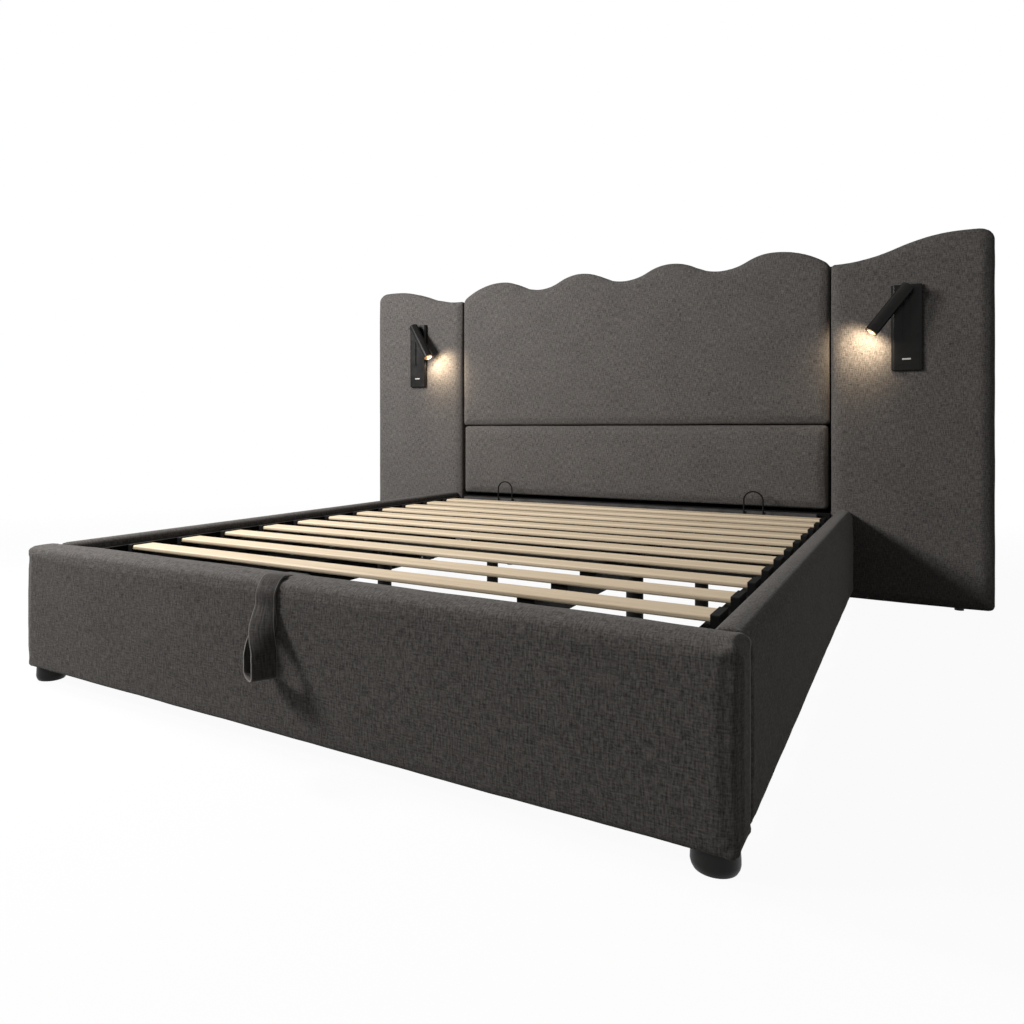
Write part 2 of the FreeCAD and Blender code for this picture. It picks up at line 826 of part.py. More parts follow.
def make_tubes():
    """Side, end, centre and cross tubes of the lift frame."""
    side = tube_along(tube_inner_x, tube_outer_x, foot_tube_y, head_tube_y, tube_bottom, tube_top, "Y")
    side = side.fuse(headed_pin(long_tip, tube_outer_x, long_arm_out_x + running_gap, 1))
    side = side.fuse(headed_pin(short_tip, tube_outer_x, short_arm_out_x + running_gap, 1)).removeSplitter()
    save("right_side_tube", [side])
    save("left_side_tube", [mirror_x(side)])
    foot = tube_along(-tube_inner_x, tube_inner_x, foot_tube_y, foot_tube_y + tube_side,
                      end_tube_bottom, end_tube_top, "X")
    head = tube_along(-tube_inner_x, tube_inner_x, head_tube_y - tube_side, head_tube_y,
                      end_tube_bottom, end_tube_top, "X")
    save("foot_tube", [foot])
    save("head_tube", [head])
    inner = centre_tube_x - tube_side / 2
    outer = centre_tube_x + tube_side / 2
    centre = tube_along(inner, outer, foot_tube_y + tube_side, head_tube_y - tube_side,
                        tube_bottom, tube_top, "Y")
    save("centre_tubes", both_sides(centre))
    cross = []
    for y in (front_cross_y, rear_cross_y):
        near = y - tube_side / 2
        far = y + tube_side / 2
        cross.append(tube_along(-inner, inner, near, far, tube_bottom, tube_top, "X"))
        cross = cross + both_sides(tube_along(outer, tube_inner_x, near, far, tube_bottom, tube_top, "X"))
    save("cross_tubes", cross)
    legs = []
    for y in (front_cross_y, rear_cross_y):
        low = Vector(centre_tube_x, y, leg_floor_gap)
        high = Vector(centre_tube_x, y, tube_bottom)
        bore_low = Vector(centre_tube_x, y, leg_floor_gap + leg_base_t)
        leg = rod(leg_radius, low, high).cut(rod(leg_radius - leg_wall, bore_low, high))
        legs = legs + both_sides(leg)
    save("support_legs", legs)


def slat_section(y, grow):
    """Corners of a slat's section, grown for the pocket that holds it."""
    radius = slat_edge_round + grow
    low_y = y - grow
    high_y = y + slat_width + grow
    low_z = slat_bottom - grow
    high_z = slat_top + grow
    corners = ((low_y, low_z), (high_y, low_z), (high_y, high_z), (low_y, high_z))
    return [(corner_y, corner_z, radius) for corner_y, corner_z in corners]


def make_slats():
    """Slats, the holders on their ends and the pads on the centre tubes."""
    end_x = tube_outer_x - slat_end_clearance
    tongue_x = tube_outer_x - holder_length - slat_tongue_clearance
    holders = []
    pads = []
    for i in range(slat_count):
        y = first_slat_y + slat_pitch * i
        slat = prism(on_side(-end_x), slat_section(y, 0), Vector(end_x + end_x, 0, 0))
        step = box(tongue_x, end_x + cut_over, y - cut_over, y + slat_width + cut_over,
                   slat_top - slat_tongue_drop, slat_top + cut_over)
        slat = slat.cut(step).cut(mirror_x(step))
        save("slat_%02d" % (i + 1), [slat])
        low_y = y - holder_rim
        high_y = y + slat_width + holder_rim
        outer = tube_outer_x
        inner = outer - holder_length
        corners = [
            (low_y, tube_top, 0),
            (high_y, tube_top, 0),
            (high_y, slat_top + holder_rim, holder_rim),
            (low_y, slat_top + holder_rim, holder_rim),
        ]
        block = prism(on_side(inner), corners, Vector(outer - inner, 0, 0))
        pocket = prism(on_side(inner - cut_over), slat_section(y, pocket_fit),
                       Vector(end_x - inner + cut_over + pocket_fit, 0, 0))
        holders = holders + both_sides(block.cut(pocket))
        middle = y + slat_width / 2
        pad = box(centre_tube_x - tube_side / 2, centre_tube_x + tube_side / 2,
                  middle - pad_length / 2, middle + pad_length / 2, tube_top, slat_bottom)
        pads = pads + both_sides(pad)
    save("slat_holders", holders)
    save("slat_pads", pads)


def make_hoops():
    """Wire hoops that keep the mattress in place, on plates on the head tube."""
    face = head_tube_y - tube_side
    plate_front = face - hoop_plate_t
    wire_y = plate_front - hoop_wire_radius + hoop_wire_bite
    low_z = end_tube_bottom + hoop_plate_drop
    arch = hoop_width / 2
    arch_z = hoop_top - hoop_wire_radius - arch
    plate = box(hoop_x - hoop_plate_width / 2, hoop_x + hoop_plate_width / 2, plate_front, face,
                low_z, low_z + hoop_plate_height)
    place = on_front(wire_y)
    path = [
        line(place, (hoop_x - arch, low_z), (hoop_x - arch, arch_z)),
        arc(place, (hoop_x - arch, arch_z), (hoop_x, arch_z + arch), (hoop_x + arch, arch_z)),
        line(place, (hoop_x + arch, arch_z), (hoop_x + arch, low_z)),
    ]
    ring = Part.Wire(Part.Circle(place(hoop_x - arch, low_z), Vector(0, 0, 1), hoop_wire_radius).toShape())
    wire = Part.Wire(path).makePipeShell([ring], True, False)
    hoop = plate.fuse(wire).removeSplitter()
    save("mattress_hoops", both_sides(hoop))


def make_strap():
    """Pull strap, two plies that part in front of the foot panel as a hand loop."""
    anchor_y = foot_tube_y
    thick = strap_ply + strap_ply
    anchor_z = strap_under_z - strap_anchor_drop
    bottom = foot_panel_top - strap_drop
    split_z = foot_panel_top - strap_split_drop
    belly_z = foot_panel_top - strap_bulge_drop
    outer = [
        (anchor_y, anchor_z, 0),
        (anchor_y, strap_over_z, strap_bend_round + strap_ply),
        (strap_low_y - thick, strap_over_z, strap_over_round + thick),
        (strap_low_y - thick, split_z, strap_belly_round),
        (strap_front_y, belly_z, strap_belly_round),
        (strap_front_y, bottom, strap_toe_round + strap_ply),
        (strap_low_y, bottom, strap_toe_round + strap_ply),
        (strap_low_y, strap_under_z, strap_over_round),
        (anchor_y - thick, strap_under_z, strap_bend_round),
        (anchor_y - thick, anchor_z, 0),
    ]
    inner = [
        (strap_low_y - strap_ply, split_z - thick, strap_ply / 4),
        (strap_front_y + strap_ply, belly_z, strap_belly_round),
        (strap_front_y + strap_ply, bottom + strap_ply, strap_toe_round),
        (strap_low_y - strap_ply, bottom + strap_ply, strap_toe_round),
    ]
    left = strap_centre - strap_width / 2
    band = prism(on_side(left), outer, Vector(strap_width, 0, 0))
    hole = prism(on_side(left - cut_over), inner, Vector(strap_width + cut_over + cut_over, 0, 0))
    save("pull_strap", [band.cut(hole)])


# Lift linkage


def arm(first, second, x0, x1, first_bore, second_bore):
    """A flat arm with round ends and two bores."""
    dy = second[0] - first[0]
    dz = second[1] - first[1]
    length = math.hypot(dy, dz)
    away_y = -dz / length * arm_half_width
    away_z = dy / length * arm_half_width
    place = on_side(x0)
    edges = []
    for start, end, sign in ((first, second, 1), (second, first, -1)):
        start_top = (start[0] + sign * away_y, start[1] + sign * away_z)
        end_top = (end[0] + sign * away_y, end[1] + sign * away_z)
        nose = (end[0] + sign * away_z, end[1] - sign * away_y)
        end_low = (end[0] - sign * away_y, end[1] - sign * away_z)
        edges.append(line(place, start_top, end_top))
        edges.append(arc(place, end_top, nose, end_low))
    solid = Part.Face(Part.Wire(edges)).extrude(Vector(x1 - x0, 0, 0))
    for point, radius in ((first, first_bore), (second, second_bore)):
        solid = solid.cut(rod(radius, Vector(x0 - cut_over, *point), Vector(x1 + cut_over, *point)))
    return solid


def headed_pin(point, start, end, head_sign):
    """A pin along X with a thin head at its end."""
    pin = rod(pin_radius, Vector(start, *point), Vector(end, *point))
    tip = end + head_sign * pin_head_t
    return pin.fuse(rod(pin_head_radius, Vector(end, *point), Vector(tip, *point)))


def make_linkage():
    """Base plates, arms and gas springs."""
    front = short_base[0] - plate_front_in
    back = long_base[0] + plate_back_in
    top = lift_pivot_z + plate_top_in
    corners = [
        (front, plate_low_z, plate_round),
        (back - plate_low_back / 2, plate_low_z, plate_round),
        (back, lift_pivot_z - plate_low_back, plate_round),
        (back, top, plate_round),
        (front, top, plate_round),
    ]
    plate = prism(on_side(plate_in_x), corners, Vector(plate_t, 0, 0))
    for y, z in stand_places():
        stand = rod(stand_radius, Vector(plate_out_x, y, z), Vector(inner_x, y, z))
        plate = plate.fuse(stand)
    plate = with_screw_holes(plate, plate_screws())
    plate = plate.fuse(headed_pin(long_base, plate_in_x, long_arm_in_x - running_gap, -1))
    plate = plate.fuse(headed_pin(short_base, plate_out_x, short_arm_out_x + running_gap, 1))
    eye_in = gas_x - gas_eye_width / 2
    stud = rod(gas_stud_radius, Vector(plate_in_x, *gas_base), Vector(eye_in - running_gap, *gas_base))
    collar = rod(gas_stud_radius + gas_stud_radius / 2, Vector(plate_in_x, *gas_base),
                 Vector(gas_x + gas_eye_width / 2 + running_gap, *gas_base))
    plate = plate.fuse(stud).fuse(collar).removeSplitter()
    save("lift_base_plates", both_sides(plate))
    bore = pin_radius + hole_fit
    long_arm = arm(long_base, long_tip, long_arm_in_x, long_arm_out_x, bore, bore)
    save("long_arms", both_sides(long_arm))
    short_arm = arm(short_base, short_tip, short_arm_in_x, short_arm_out_x, bore,
                    pin_radius + open_pivot_gap)
    save("short_arms", both_sides(short_arm))
    bracket_x = inner_x - gas_bracket_in
    bracket_low = gas_stud_z - gas_bracket_low
    near = gas_tip[0] - gas_bracket_width / 2
    far = gas_tip[0] + gas_bracket_width / 2
    corners = [
        (near, tube_bottom, 0),
        (near, bracket_low, plate_round),
        (far, bracket_low, plate_round),
        (far, tube_bottom, 0),
    ]
    bracket = prism(on_side(bracket_x - gas_bracket_t), corners, Vector(gas_bracket_t, 0, 0))
    stud_end = gas_x + gas_eye_width / 2 + running_gap
    bracket = bracket.fuse(rod(gas_stud_radius, Vector(bracket_x, *gas_tip), Vector(stud_end, *gas_tip)))
    save("gas_spring_brackets", both_sides(bracket.removeSplitter()))


def make_gas_springs():
    """Cylinders and rods, made along one line between their studs."""
    base = Vector(gas_x, *gas_base)
    tip = Vector(gas_x, *gas_tip)
    reach = (tip - base).Length
    way = (tip - base).normalize()
    across = Vector(gas_eye_width / 2, 0, 0)

    def at(distance):
        return base + way * distance

    body_start = gas_eye_radius + gas_eye_neck
    body_end = reach - gas_tube_end
    room = gas_tube_radius - gas_tube_wall
    cylinder = rod(gas_tube_radius, at(body_start), at(body_end))
    cylinder = cylinder.cut(rod(room, at(body_start + gas_gland_t), at(body_end - gas_gland_t)))
    gland_start = at(body_end - gas_gland_t - cut_over)
    cylinder = cylinder.cut(rod(gas_rod_radius + hole_fit, gland_start, at(body_end + cut_over)))
    cylinder = cylinder.fuse(rod(gas_rod_radius, at(0), at(body_start)))
    cylinder = cylinder.fuse(rod(gas_eye_radius, base - across, base + across))
    cylinder = cylinder.cut(rod(gas_stud_radius + hole_fit, base - across * 2, base + across * 2))
    save("gas_cylinders", both_sides(cylinder.removeSplitter()))
    piston = body_start + gas_gland_t + gas_piston_back
    shaft = rod(gas_rod_radius, at(piston), at(reach))
    shaft = shaft.fuse(rod(room - hole_fit, at(piston), at(piston + gas_piston_t)))
    shaft = shaft.fuse(rod(gas_eye_radius, tip - across, tip + across))
    shaft = shaft.cut(rod(gas_stud_radius + open_pivot_gap, tip - across * 2, tip + across * 2))
    save("gas_rods", both_sides(shaft.removeSplitter()))


# Reading lamps


def lamp_section(grow, depth_back, depth_front):
    """Corners of a lamp casing's plan, with its side bevels."""
    wide = lamp_width / 2 + grow
    narrow = lamp_face_width / 2 + grow
    return [
        (lamp_x - wide, depth_back, 0),
        (lamp_x + wide, depth_back, 0),
        (lamp_x + wide, (depth_back + depth_front) / 2, lamp_round),
        (lamp_x + narrow, depth_front, lamp_round),
        (lamp_x - narrow, depth_front, lamp_round),
        (lamp_x - wide, (depth_back + depth_front) / 2, lamp_round),
    ]


def oblong(length, height, x, z, y0, y1):
    """A level bar with round ends, along Y between two depths."""
    half = length / 2 - height / 2
    radius = height / 2
    bar = box(x - half, x + half, y0, y1, z - radius, z + radius)
    for side in (-1, 1):
        bar = bar.fuse(rod(radius, Vector(x + side * half, y0, z), Vector(x + side * half, y1, z)))
    return bar.removeSplitter()


def make_lamp_case():
    """Back plate, cover with its recess, and push button."""
    inset = lamp_plate_inset
    plate = box(lamp_x - lamp_width / 2 + inset, lamp_x + lamp_width / 2 - inset, lamp_joint_y, lamp_back_y,
                lamp_bottom + inset, lamp_top - inset)
    save("lamp_back_plates", both_sides(plate))
    height = Vector(0, 0, lamp_height)
    cover = prism(on_floor(lamp_bottom), lamp_section(0, lamp_joint_y, lamp_front_y), height)
    radius = slot_width / 2
    floor = lamp_front_y + slot_depth
    slot = box(lamp_x - radius, lamp_x + radius, lamp_front_y - cut_over, floor,
               slot_bottom + radius, slot_top)
    foot = Vector(lamp_x, lamp_front_y - cut_over, slot_bottom + radius)
    slot = slot.fuse(rod(radius, foot, Vector(lamp_x, floor, slot_bottom + radius)))
    room_low = button_z - switch_room_height / 2
    room = box(lamp_x - lamp_face_width / 2, lamp_x + lamp_face_width / 2, lamp_joint_y - switch_room_depth,
               lamp_joint_y + cut_over, room_low, room_low + switch_room_height)
    mouth = oblong(button_length + pocket_fit + pocket_fit, button_height + pocket_fit + pocket_fit,
                   lamp_x, button_z, lamp_front_y - cut_over, lamp_joint_y)
    pivot = Vector(lamp_x, lamp_front_y, lamp_pivot_z)
    shank = rod(knuckle_shank_radius + hole_fit, pivot - Vector(0, cut_over, 0),
                pivot + Vector(0, knuckle_shank_l + pocket_fit, 0))
    cover = cover.cut(slot).cut(room).cut(mouth).cut(shank)
    button = oblong(button_length, button_height, lamp_x, button_z, lamp_front_y - button_proud,
                    lamp_front_y - button_proud + button_depth)
    rim_y = lamp_joint_y - switch_room_depth + pocket_fit
    rim = oblong(button_length + button_rim + button_rim, button_height + button_rim + button_rim,
                 lamp_x, button_z, rim_y, rim_y + button_rim)
    button = button.fuse(rim).removeSplitter()
    save("right_lamp_cover", [cover])
    save("left_lamp_cover", [mirror_x(cover)])
    save("right_lamp_button", [button])
    save("left_lamp_button", [mirror_x(button)])


def make_lamp_head():
    """Knuckle, head and lens, turned to the pose of the photograph."""
    pivot = Vector(lamp_x, lamp_pivot_y, lamp_pivot_z)
    front = Vector(lamp_x, lamp_front_y, lamp_pivot_z)
    swivel = math.radians(lamp_swivel_deg)
    tilt = math.radians(lamp_tilt_deg)
    hang = Vector(-math.sin(swivel), 0, -math.cos(swivel))
    side = Vector(math.cos(swivel), 0, -math.sin(swivel))
    out = Vector(0, -1, 0)
    way = hang * math.cos(tilt) + out * math.sin(tilt)
    lean = out * math.cos(tilt) - hang * math.sin(tilt)
    eye_half = side * (knuckle_eye_width / 2)
    eye = rod(knuckle_eye_radius, pivot - eye_half, pivot + eye_half)
    stem = rod(knuckle_stem_radius, front + out * running_gap, pivot)
    disc_start = front + out * pocket_fit
    disc = rod(knuckle_disc_radius, disc_start, disc_start + out * knuckle_disc_t)
    shank = rod(knuckle_shank_radius, front - out * knuckle_shank_l, front + out * knuckle_disc_t)
    knuckle = eye.fuse(stem).fuse(disc).fuse(shank).removeSplitter()
    bore = rod(head_pin_radius + hole_fit, pivot - side * head_radius, pivot + side * head_radius)
    knuckle = knuckle.cut(bore)
    top = pivot - way * head_back
    end = pivot + way * head_length
    tube = rod(head_radius, top, end)
    rims = [edge for edge in tube.Edges if edge.Closed and (edge.CenterOfMass - top).Length < soft_gap]
    tube = tube.makeFillet(head_end_round, rims)
    tube = tube.cut(rod(head_radius - head_wall, end - way * head_bore, end + way * cut_over))
    reach = head_radius + cut_over
    width = head_slot_half + head_slot_half
    corner = pivot - way * reach - side * head_slot_half - lean * reach
    far = corner + side * width
    deep = lean * (reach + head_slot_depth)
    sheet = Part.makePolygon([corner, far, far + deep, corner + deep, corner])
    slot = Part.Face(sheet).extrude(way * (reach + head_slot_depth))
    tube = tube.cut(slot)
    pin_half = side * (head_radius - head_wall)
    tube = tube.fuse(rod(head_pin_radius, pivot - pin_half, pivot + pin_half)).removeSplitter()
    lens_out = end - way * lens_recess
    lens = rod(head_radius - head_wall - pocket_fit, lens_out - way * lens_t, lens_out)
    for name, solid in (("knuckle", knuckle), ("head", tube), ("lens", lens)):
        save("right_lamp_" + name, [solid])
        save("left_lamp_" + name, [mirror_x(solid)])


make_foot_panel()
make_rails()
make_lining()
make_headboard()
make_feet()
make_brackets()
make_tubes()
make_slats()
make_hoops()
make_strap()
make_linkage()
make_gas_springs()
make_lamp_case()
make_lamp_head()
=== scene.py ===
import logging
import math
from contextlib import contextmanager
from dataclasses import dataclass
from enum import Enum
from typing import Callable, Iterable, Iterator, Sequence, Union

import bpy
import numpy as np
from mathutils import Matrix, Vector, noise
from mathutils.bvhtree import BVHTree
from mathutils.kdtree import KDTree


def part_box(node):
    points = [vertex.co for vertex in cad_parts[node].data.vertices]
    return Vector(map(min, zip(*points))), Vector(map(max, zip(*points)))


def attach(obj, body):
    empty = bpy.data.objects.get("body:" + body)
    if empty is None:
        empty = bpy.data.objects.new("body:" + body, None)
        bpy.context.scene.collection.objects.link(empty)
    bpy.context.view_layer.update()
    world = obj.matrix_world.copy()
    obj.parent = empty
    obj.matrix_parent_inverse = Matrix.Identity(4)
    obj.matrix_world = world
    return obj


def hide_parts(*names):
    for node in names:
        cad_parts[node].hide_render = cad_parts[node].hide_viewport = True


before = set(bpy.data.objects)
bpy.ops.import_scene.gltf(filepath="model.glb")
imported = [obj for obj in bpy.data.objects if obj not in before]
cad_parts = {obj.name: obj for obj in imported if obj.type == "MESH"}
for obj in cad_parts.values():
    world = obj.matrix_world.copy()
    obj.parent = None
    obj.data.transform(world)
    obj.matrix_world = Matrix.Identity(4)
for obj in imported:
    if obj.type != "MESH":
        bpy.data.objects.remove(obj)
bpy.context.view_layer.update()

log = logging.getLogger("storage_bed")

MM = 0.001
Place = tuple[float, float, float]
Colour = tuple[float, float, float]
Piece = bpy.types.Object
Material = bpy.types.Material
Rows = np.ndarray
PointMap = Callable[[Rows], Rows]
STRAP_HALF = 25.5 * MM
DUST_LIFT = 0.001


class Side(Enum):
    """The two sides of the bed, seen from its foot."""

    LEFT = -1
    RIGHT = 1

    @property
    def label(self) -> str:
        """The side's word in the names of nodes."""
        return self.name.lower()


class Slot(Enum):
    """Names of material slots of the record; no piece here takes its finish from them."""

    CLOTH = "upholstery"
    LINING = "black_cloth"
    WEBBING = "webbing"
    ZINC = "zinc_steel"


# Shader building


class Socket:
    """A shader output whose arithmetic adds Math nodes to its tree."""

    def __init__(self, tree: bpy.types.NodeTree, output: bpy.types.NodeSocket) -> None:
        """Wraps one output of a node."""
        self.tree = tree
        self.output = output

    def math(self, operation: str, other: "Value", swap: bool = False) -> "Socket":
        """Adds one Math node.

        Args:
            operation: The node's operation.
            other: The second operand.
            swap: Whether the other operand comes first.

        Returns:
            The node's result.
        """
        node = self.tree.nodes.new("ShaderNodeMath")
        node.operation = operation
        operands = (other, self) if swap else (self, other)
        for slot_in, operand in zip(node.inputs, operands):
            join(self.tree, slot_in, operand)
        return Socket(self.tree, node.outputs[0])

    def __add__(self, other: "Value") -> "Socket":
        """The sum of two values."""
        return self.math("ADD", other)

    def __radd__(self, other: "Value") -> "Socket":
        """The sum of a number and this value."""
        return self.math("ADD", other, swap=True)

    def __sub__(self, other: "Value") -> "Socket":
        """The difference of two values."""
        return self.math("SUBTRACT", other)

    def __rsub__(self, other: "Value") -> "Socket":
        """A number less this value."""
        return self.math("SUBTRACT", other, swap=True)

    def __mul__(self, other: "Value") -> "Socket":
        """The product of two values."""
        return self.math("MULTIPLY", other)

    def __rmul__(self, other: "Value") -> "Socket":
        """The product of a number and this value."""
        return self.math("MULTIPLY", other, swap=True)


Value = Union[Socket, float, int, Sequence[float]]


def join(tree: bpy.types.NodeTree, target: bpy.types.NodeSocket, value: Value) -> None:
    """Links a wrapped output to an input, or sets the input's own value.

    Args:
        tree: The tree that both belong to.
        target: The input.
        value: A wrapped output, a number, a colour or a vector.
    """
    if isinstance(value, Socket):
        tree.links.new(value.output, target)
    elif isinstance(value, (int, float)):
        target.default_value = value
    elif len(target.default_value) == 4 and len(value) == 3:
        target.default_value = (*value, 1.0)
    else:
        target.default_value = value


class Shader:
    """One node material under construction."""

    def __init__(self, name: str) -> None:
        """Starts a material with a principled shader.

        Args:
            name: The material's name.
        """
        self.material = bpy.data.materials.new(name)
        self.material.use_nodes = True
        self.tree = self.material.node_tree
        self.surface = self.tree.nodes["Principled BSDF"]

    def node(self, kind: str, inputs: dict[str, Value] | None = None, output: str | int = 0,
             **settings) -> Socket:
        """Adds a node.

        Args:
            kind: The node's type.
            inputs: Values or links of its inputs, by name or by number in words.
            output: The output to return, by name or number.
            **settings: The node's own settings, set before its inputs.

        Returns:
            The chosen output.
        """
        made = self.tree.nodes.new(kind)
        stops = settings.pop("stops", None)
        for key, value in settings.items():
            setattr(made, key, value)
        if stops:
            ramp = made.color_ramp
            while len(ramp.elements) < len(stops):
                ramp.elements.new(1.0)
            for element, (where, colour) in zip(ramp.elements, stops):
                element.position = where
                element.color = (*colour, 1.0)
        for key, value in (inputs or {}).items():
            target = made.inputs[int(key)] if key.isdigit() else made.inputs[key]
            join(self.tree, target, value)
        return Socket(self.tree, made.outputs[output])

    def set(self, **values: Value) -> None:
        """Sets inputs of the principled shader, named with underscores for spaces."""
        for key, value in values.items():
            join(self.tree, self.surface.inputs[key.replace("_", " ")], value)

    def place(self, source: str, scale: Place, move: Place = (0.0, 0.0, 0.0)) -> Socket:
        """Object or UV coordinates in repeats per metre along each axis, moved after that."""
        start = self.node("ShaderNodeTexCoord", output=source)
        return self.node("ShaderNodeMapping", {"Vector": start, "Location": move, "Scale": scale})

    def noise(self, source: str, scale: Place, detail: float = 2.0, rough: float = 0.5,
              move: Place = (0.0, 0.0, 0.0)) -> Socket:
        """A noise value from 0 to 1, on coordinates placed as above."""
        inputs = {"Vector": self.place(source, scale, move), "Scale": 1.0, "Detail": detail}
        return self.node("ShaderNodeTexNoise", {**inputs, "Roughness": rough}, noise_dimensions="3D")

    def spread(self, value: Socket, low: float, high: float, to_low: float = 0.0,
               to_high: float = 1.0) -> Socket:
        """Maps a value from one range to another, clamped."""
        inputs = {"Value": value, "From Min": low, "From Max": high, "To Min": to_low, "To Max": to_high}
        return self.node("ShaderNodeMapRange", inputs)

    def blend(self, factor: Value, first: Value, second: Value) -> Socket:
        """Mixes two colours.

        Args:
            factor: How much of the second colour.
            first: The first colour.
            second: The second colour.

        Returns:
            The mixed colour.
        """
        made = self.tree.nodes.new("ShaderNodeMix")
        made.data_type = "RGBA"
        for target, value in zip((made.inputs[0], made.inputs[6], made.inputs[7]), (factor, first, second)):
            join(self.tree, target, value)
        return Socket(self.tree, made.outputs[2])

    def bump(self, height: Socket, distance: float, strength: float = 1.0) -> None:
        """Sends a height from 0 to 1 through a Bump node, its full height in metres."""
        inputs = {"Height": height, "Distance": distance, "Strength": strength}
        self.set(Normal=self.node("ShaderNodeBump", inputs))


def even(scale: float) -> Place:
    """The same scale along each axis."""
    return (scale, scale, scale)


def lighter(colour: Colour, times: float, more: float = 0.0) -> Colour:
    """A colour with each part multiplied, and a little added."""
    return tuple(part * times + more for part in colour)


@dataclass(frozen=True)
class WovenCloth:
    """Melange cloth woven from dark and light slubbed yarns, read on the piece's UV map in metres."""

    name: str = "melange_cloth"
    dark: Colour = (0.0375, 0.0345, 0.0325)
    light: Colour = (0.138, 0.126, 0.118)
    slubs_per_metre: float = 360.0
    slub_share: float = 0.14
    fleck_share: float = 0.65
    threads_per_metre: float = 640.0
    clouds_per_metre: float = 7.0
    tones: tuple[float, float] = (0.395, 0.605)
    gloss: tuple[float, float] = (0.97, 0.86)
    weave_height: float = 0.5 * MM
    weave_strength: float = 0.7

    def build(self) -> Material:
        """Makes the material.

        Returns:
            The material.
        """
        shader = Shader(self.name)
        slub, thread, cloud = self.slubs_per_metre, self.threads_per_metre, self.clouds_per_metre
        run, speck = slub * self.slub_share, slub * self.fleck_share
        warp = shader.noise("UV", (slub, run, 1.0))
        weft = shader.noise("UV", (run, slub, 1.0), move=(7.0, 3.0, 5.0))
        fleck = shader.noise("UV", (speck, speck, 1.0), move=(1.0, 9.0, 2.0))
        fine = shader.noise("UV", (thread, thread, 1.0), 1.0, move=(4.0, 2.0, 8.0))
        clouds = shader.noise("UV", (cloud, cloud, 1.0), 3.0)
        yarn = warp * 0.35 + weft * 0.26 + fleck * 0.24 + fine * 0.10 + clouds * 0.05
        tone = shader.spread(yarn, *self.tones)
        shader.set(Base_Color=shader.blend(tone, self.dark, self.light))
        shader.set(Roughness=shader.spread(tone, 0.0, 1.0, *self.gloss), Specular_IOR_Level=0.04)
        shader.set(Sheen_Weight=0.10, Sheen_Roughness=0.5, Sheen_Tint=(0.80, 0.77, 0.74))
        shader.bump(warp * 0.4 + weft * 0.4 + fine * 0.35, self.weave_height, self.weave_strength)
        return shader.material


@dataclass(frozen=True)
class LiningCloth:
    """Thin black non-woven lining with its pressed dot pattern."""

    name: str = "black_lining"
    colour: Colour = (0.0060, 0.0055, 0.0052)
    lift: float = 2.2
    dots_per_metre: float = 420.0
    clouds_per_metre: float = 6.0
    dot_height: float = 0.25 * MM

    def build(self) -> Material:
        """Makes the material.

        Returns:
            The material.
        """
        shader = Shader(self.name)
        fibre = shader.noise("Object", even(self.dots_per_metre))
        cell = {"Vector": shader.place("Object", even(1.0)), "Scale": self.dots_per_metre}
        dots = shader.node("ShaderNodeTexVoronoi", cell, output="Distance")
        cloud = shader.noise("Object", even(self.clouds_per_metre), 3.0)
        tone = shader.spread(cloud * 0.6 + fibre * 0.4, 0.3, 0.7)
        shader.set(Base_Color=shader.blend(tone, self.colour, lighter(self.colour, self.lift)))
        shader.set(Roughness=shader.spread(fibre, 0.2, 0.8, 0.85, 0.98), Specular_IOR_Level=0.05)
        shader.bump(dots * 0.6 + fibre * 0.4, self.dot_height)
        return shader.material


@dataclass(frozen=True)
class StrapWebbing:
    """Dark ribbed webbing with pale selvages, read on the strap's UV map in metres."""

    name: str = "strap_webbing"
    colour: Colour = (0.030, 0.027, 0.025)
    lift: float = 2.4
    selvage: Colour = (0.150, 0.140, 0.130)
    ribs_per_metre: float = 560.0
    rib_height: float = 0.3 * MM
    half_width: float = STRAP_HALF
    selvage_width: float = 1.6 * MM
    selvage_fade: float = 0.6

    def build(self) -> Material:
        """Makes the material.

        Returns:
            The material.
        """
        shader = Shader(self.name)
        pitch = self.ribs_per_metre
        speck = pitch * 0.4
        warp = shader.noise("UV", (pitch * 0.5, pitch * 0.05, 1.0), 1.0)
        weft = shader.noise("UV", (pitch * 0.08, pitch, 1.0), 1.0)
        fleck = shader.noise("UV", (speck, speck, 1.0))
        tone = shader.spread(warp * 0.5 + weft * 0.3 + fleck * 0.2, 0.38, 0.64)
        place = shader.place("UV", even(1.0))
        across = shader.node("ShaderNodeSeparateXYZ", {"Vector": place}, output="X")
        reach = shader.node("ShaderNodeMath", {"0": across}, operation="ABSOLUTE")
        start = self.half_width - self.selvage_width
        edge = shader.spread(reach, start, self.half_width - self.selvage_fade * self.selvage_width)
        cloth = shader.blend(tone, self.colour, lighter(self.colour, self.lift))
        shader.set(Base_Color=shader.blend(edge, cloth, self.selvage))
        shader.set(Roughness=shader.spread(tone, 0.0, 1.0, 0.95, 0.8), Specular_IOR_Level=0.06)
        shader.set(Sheen_Weight=0.08, Sheen_Roughness=0.5)
        shader.bump(warp * 0.6 + weft * 0.6, self.rib_height)
        return shader.material


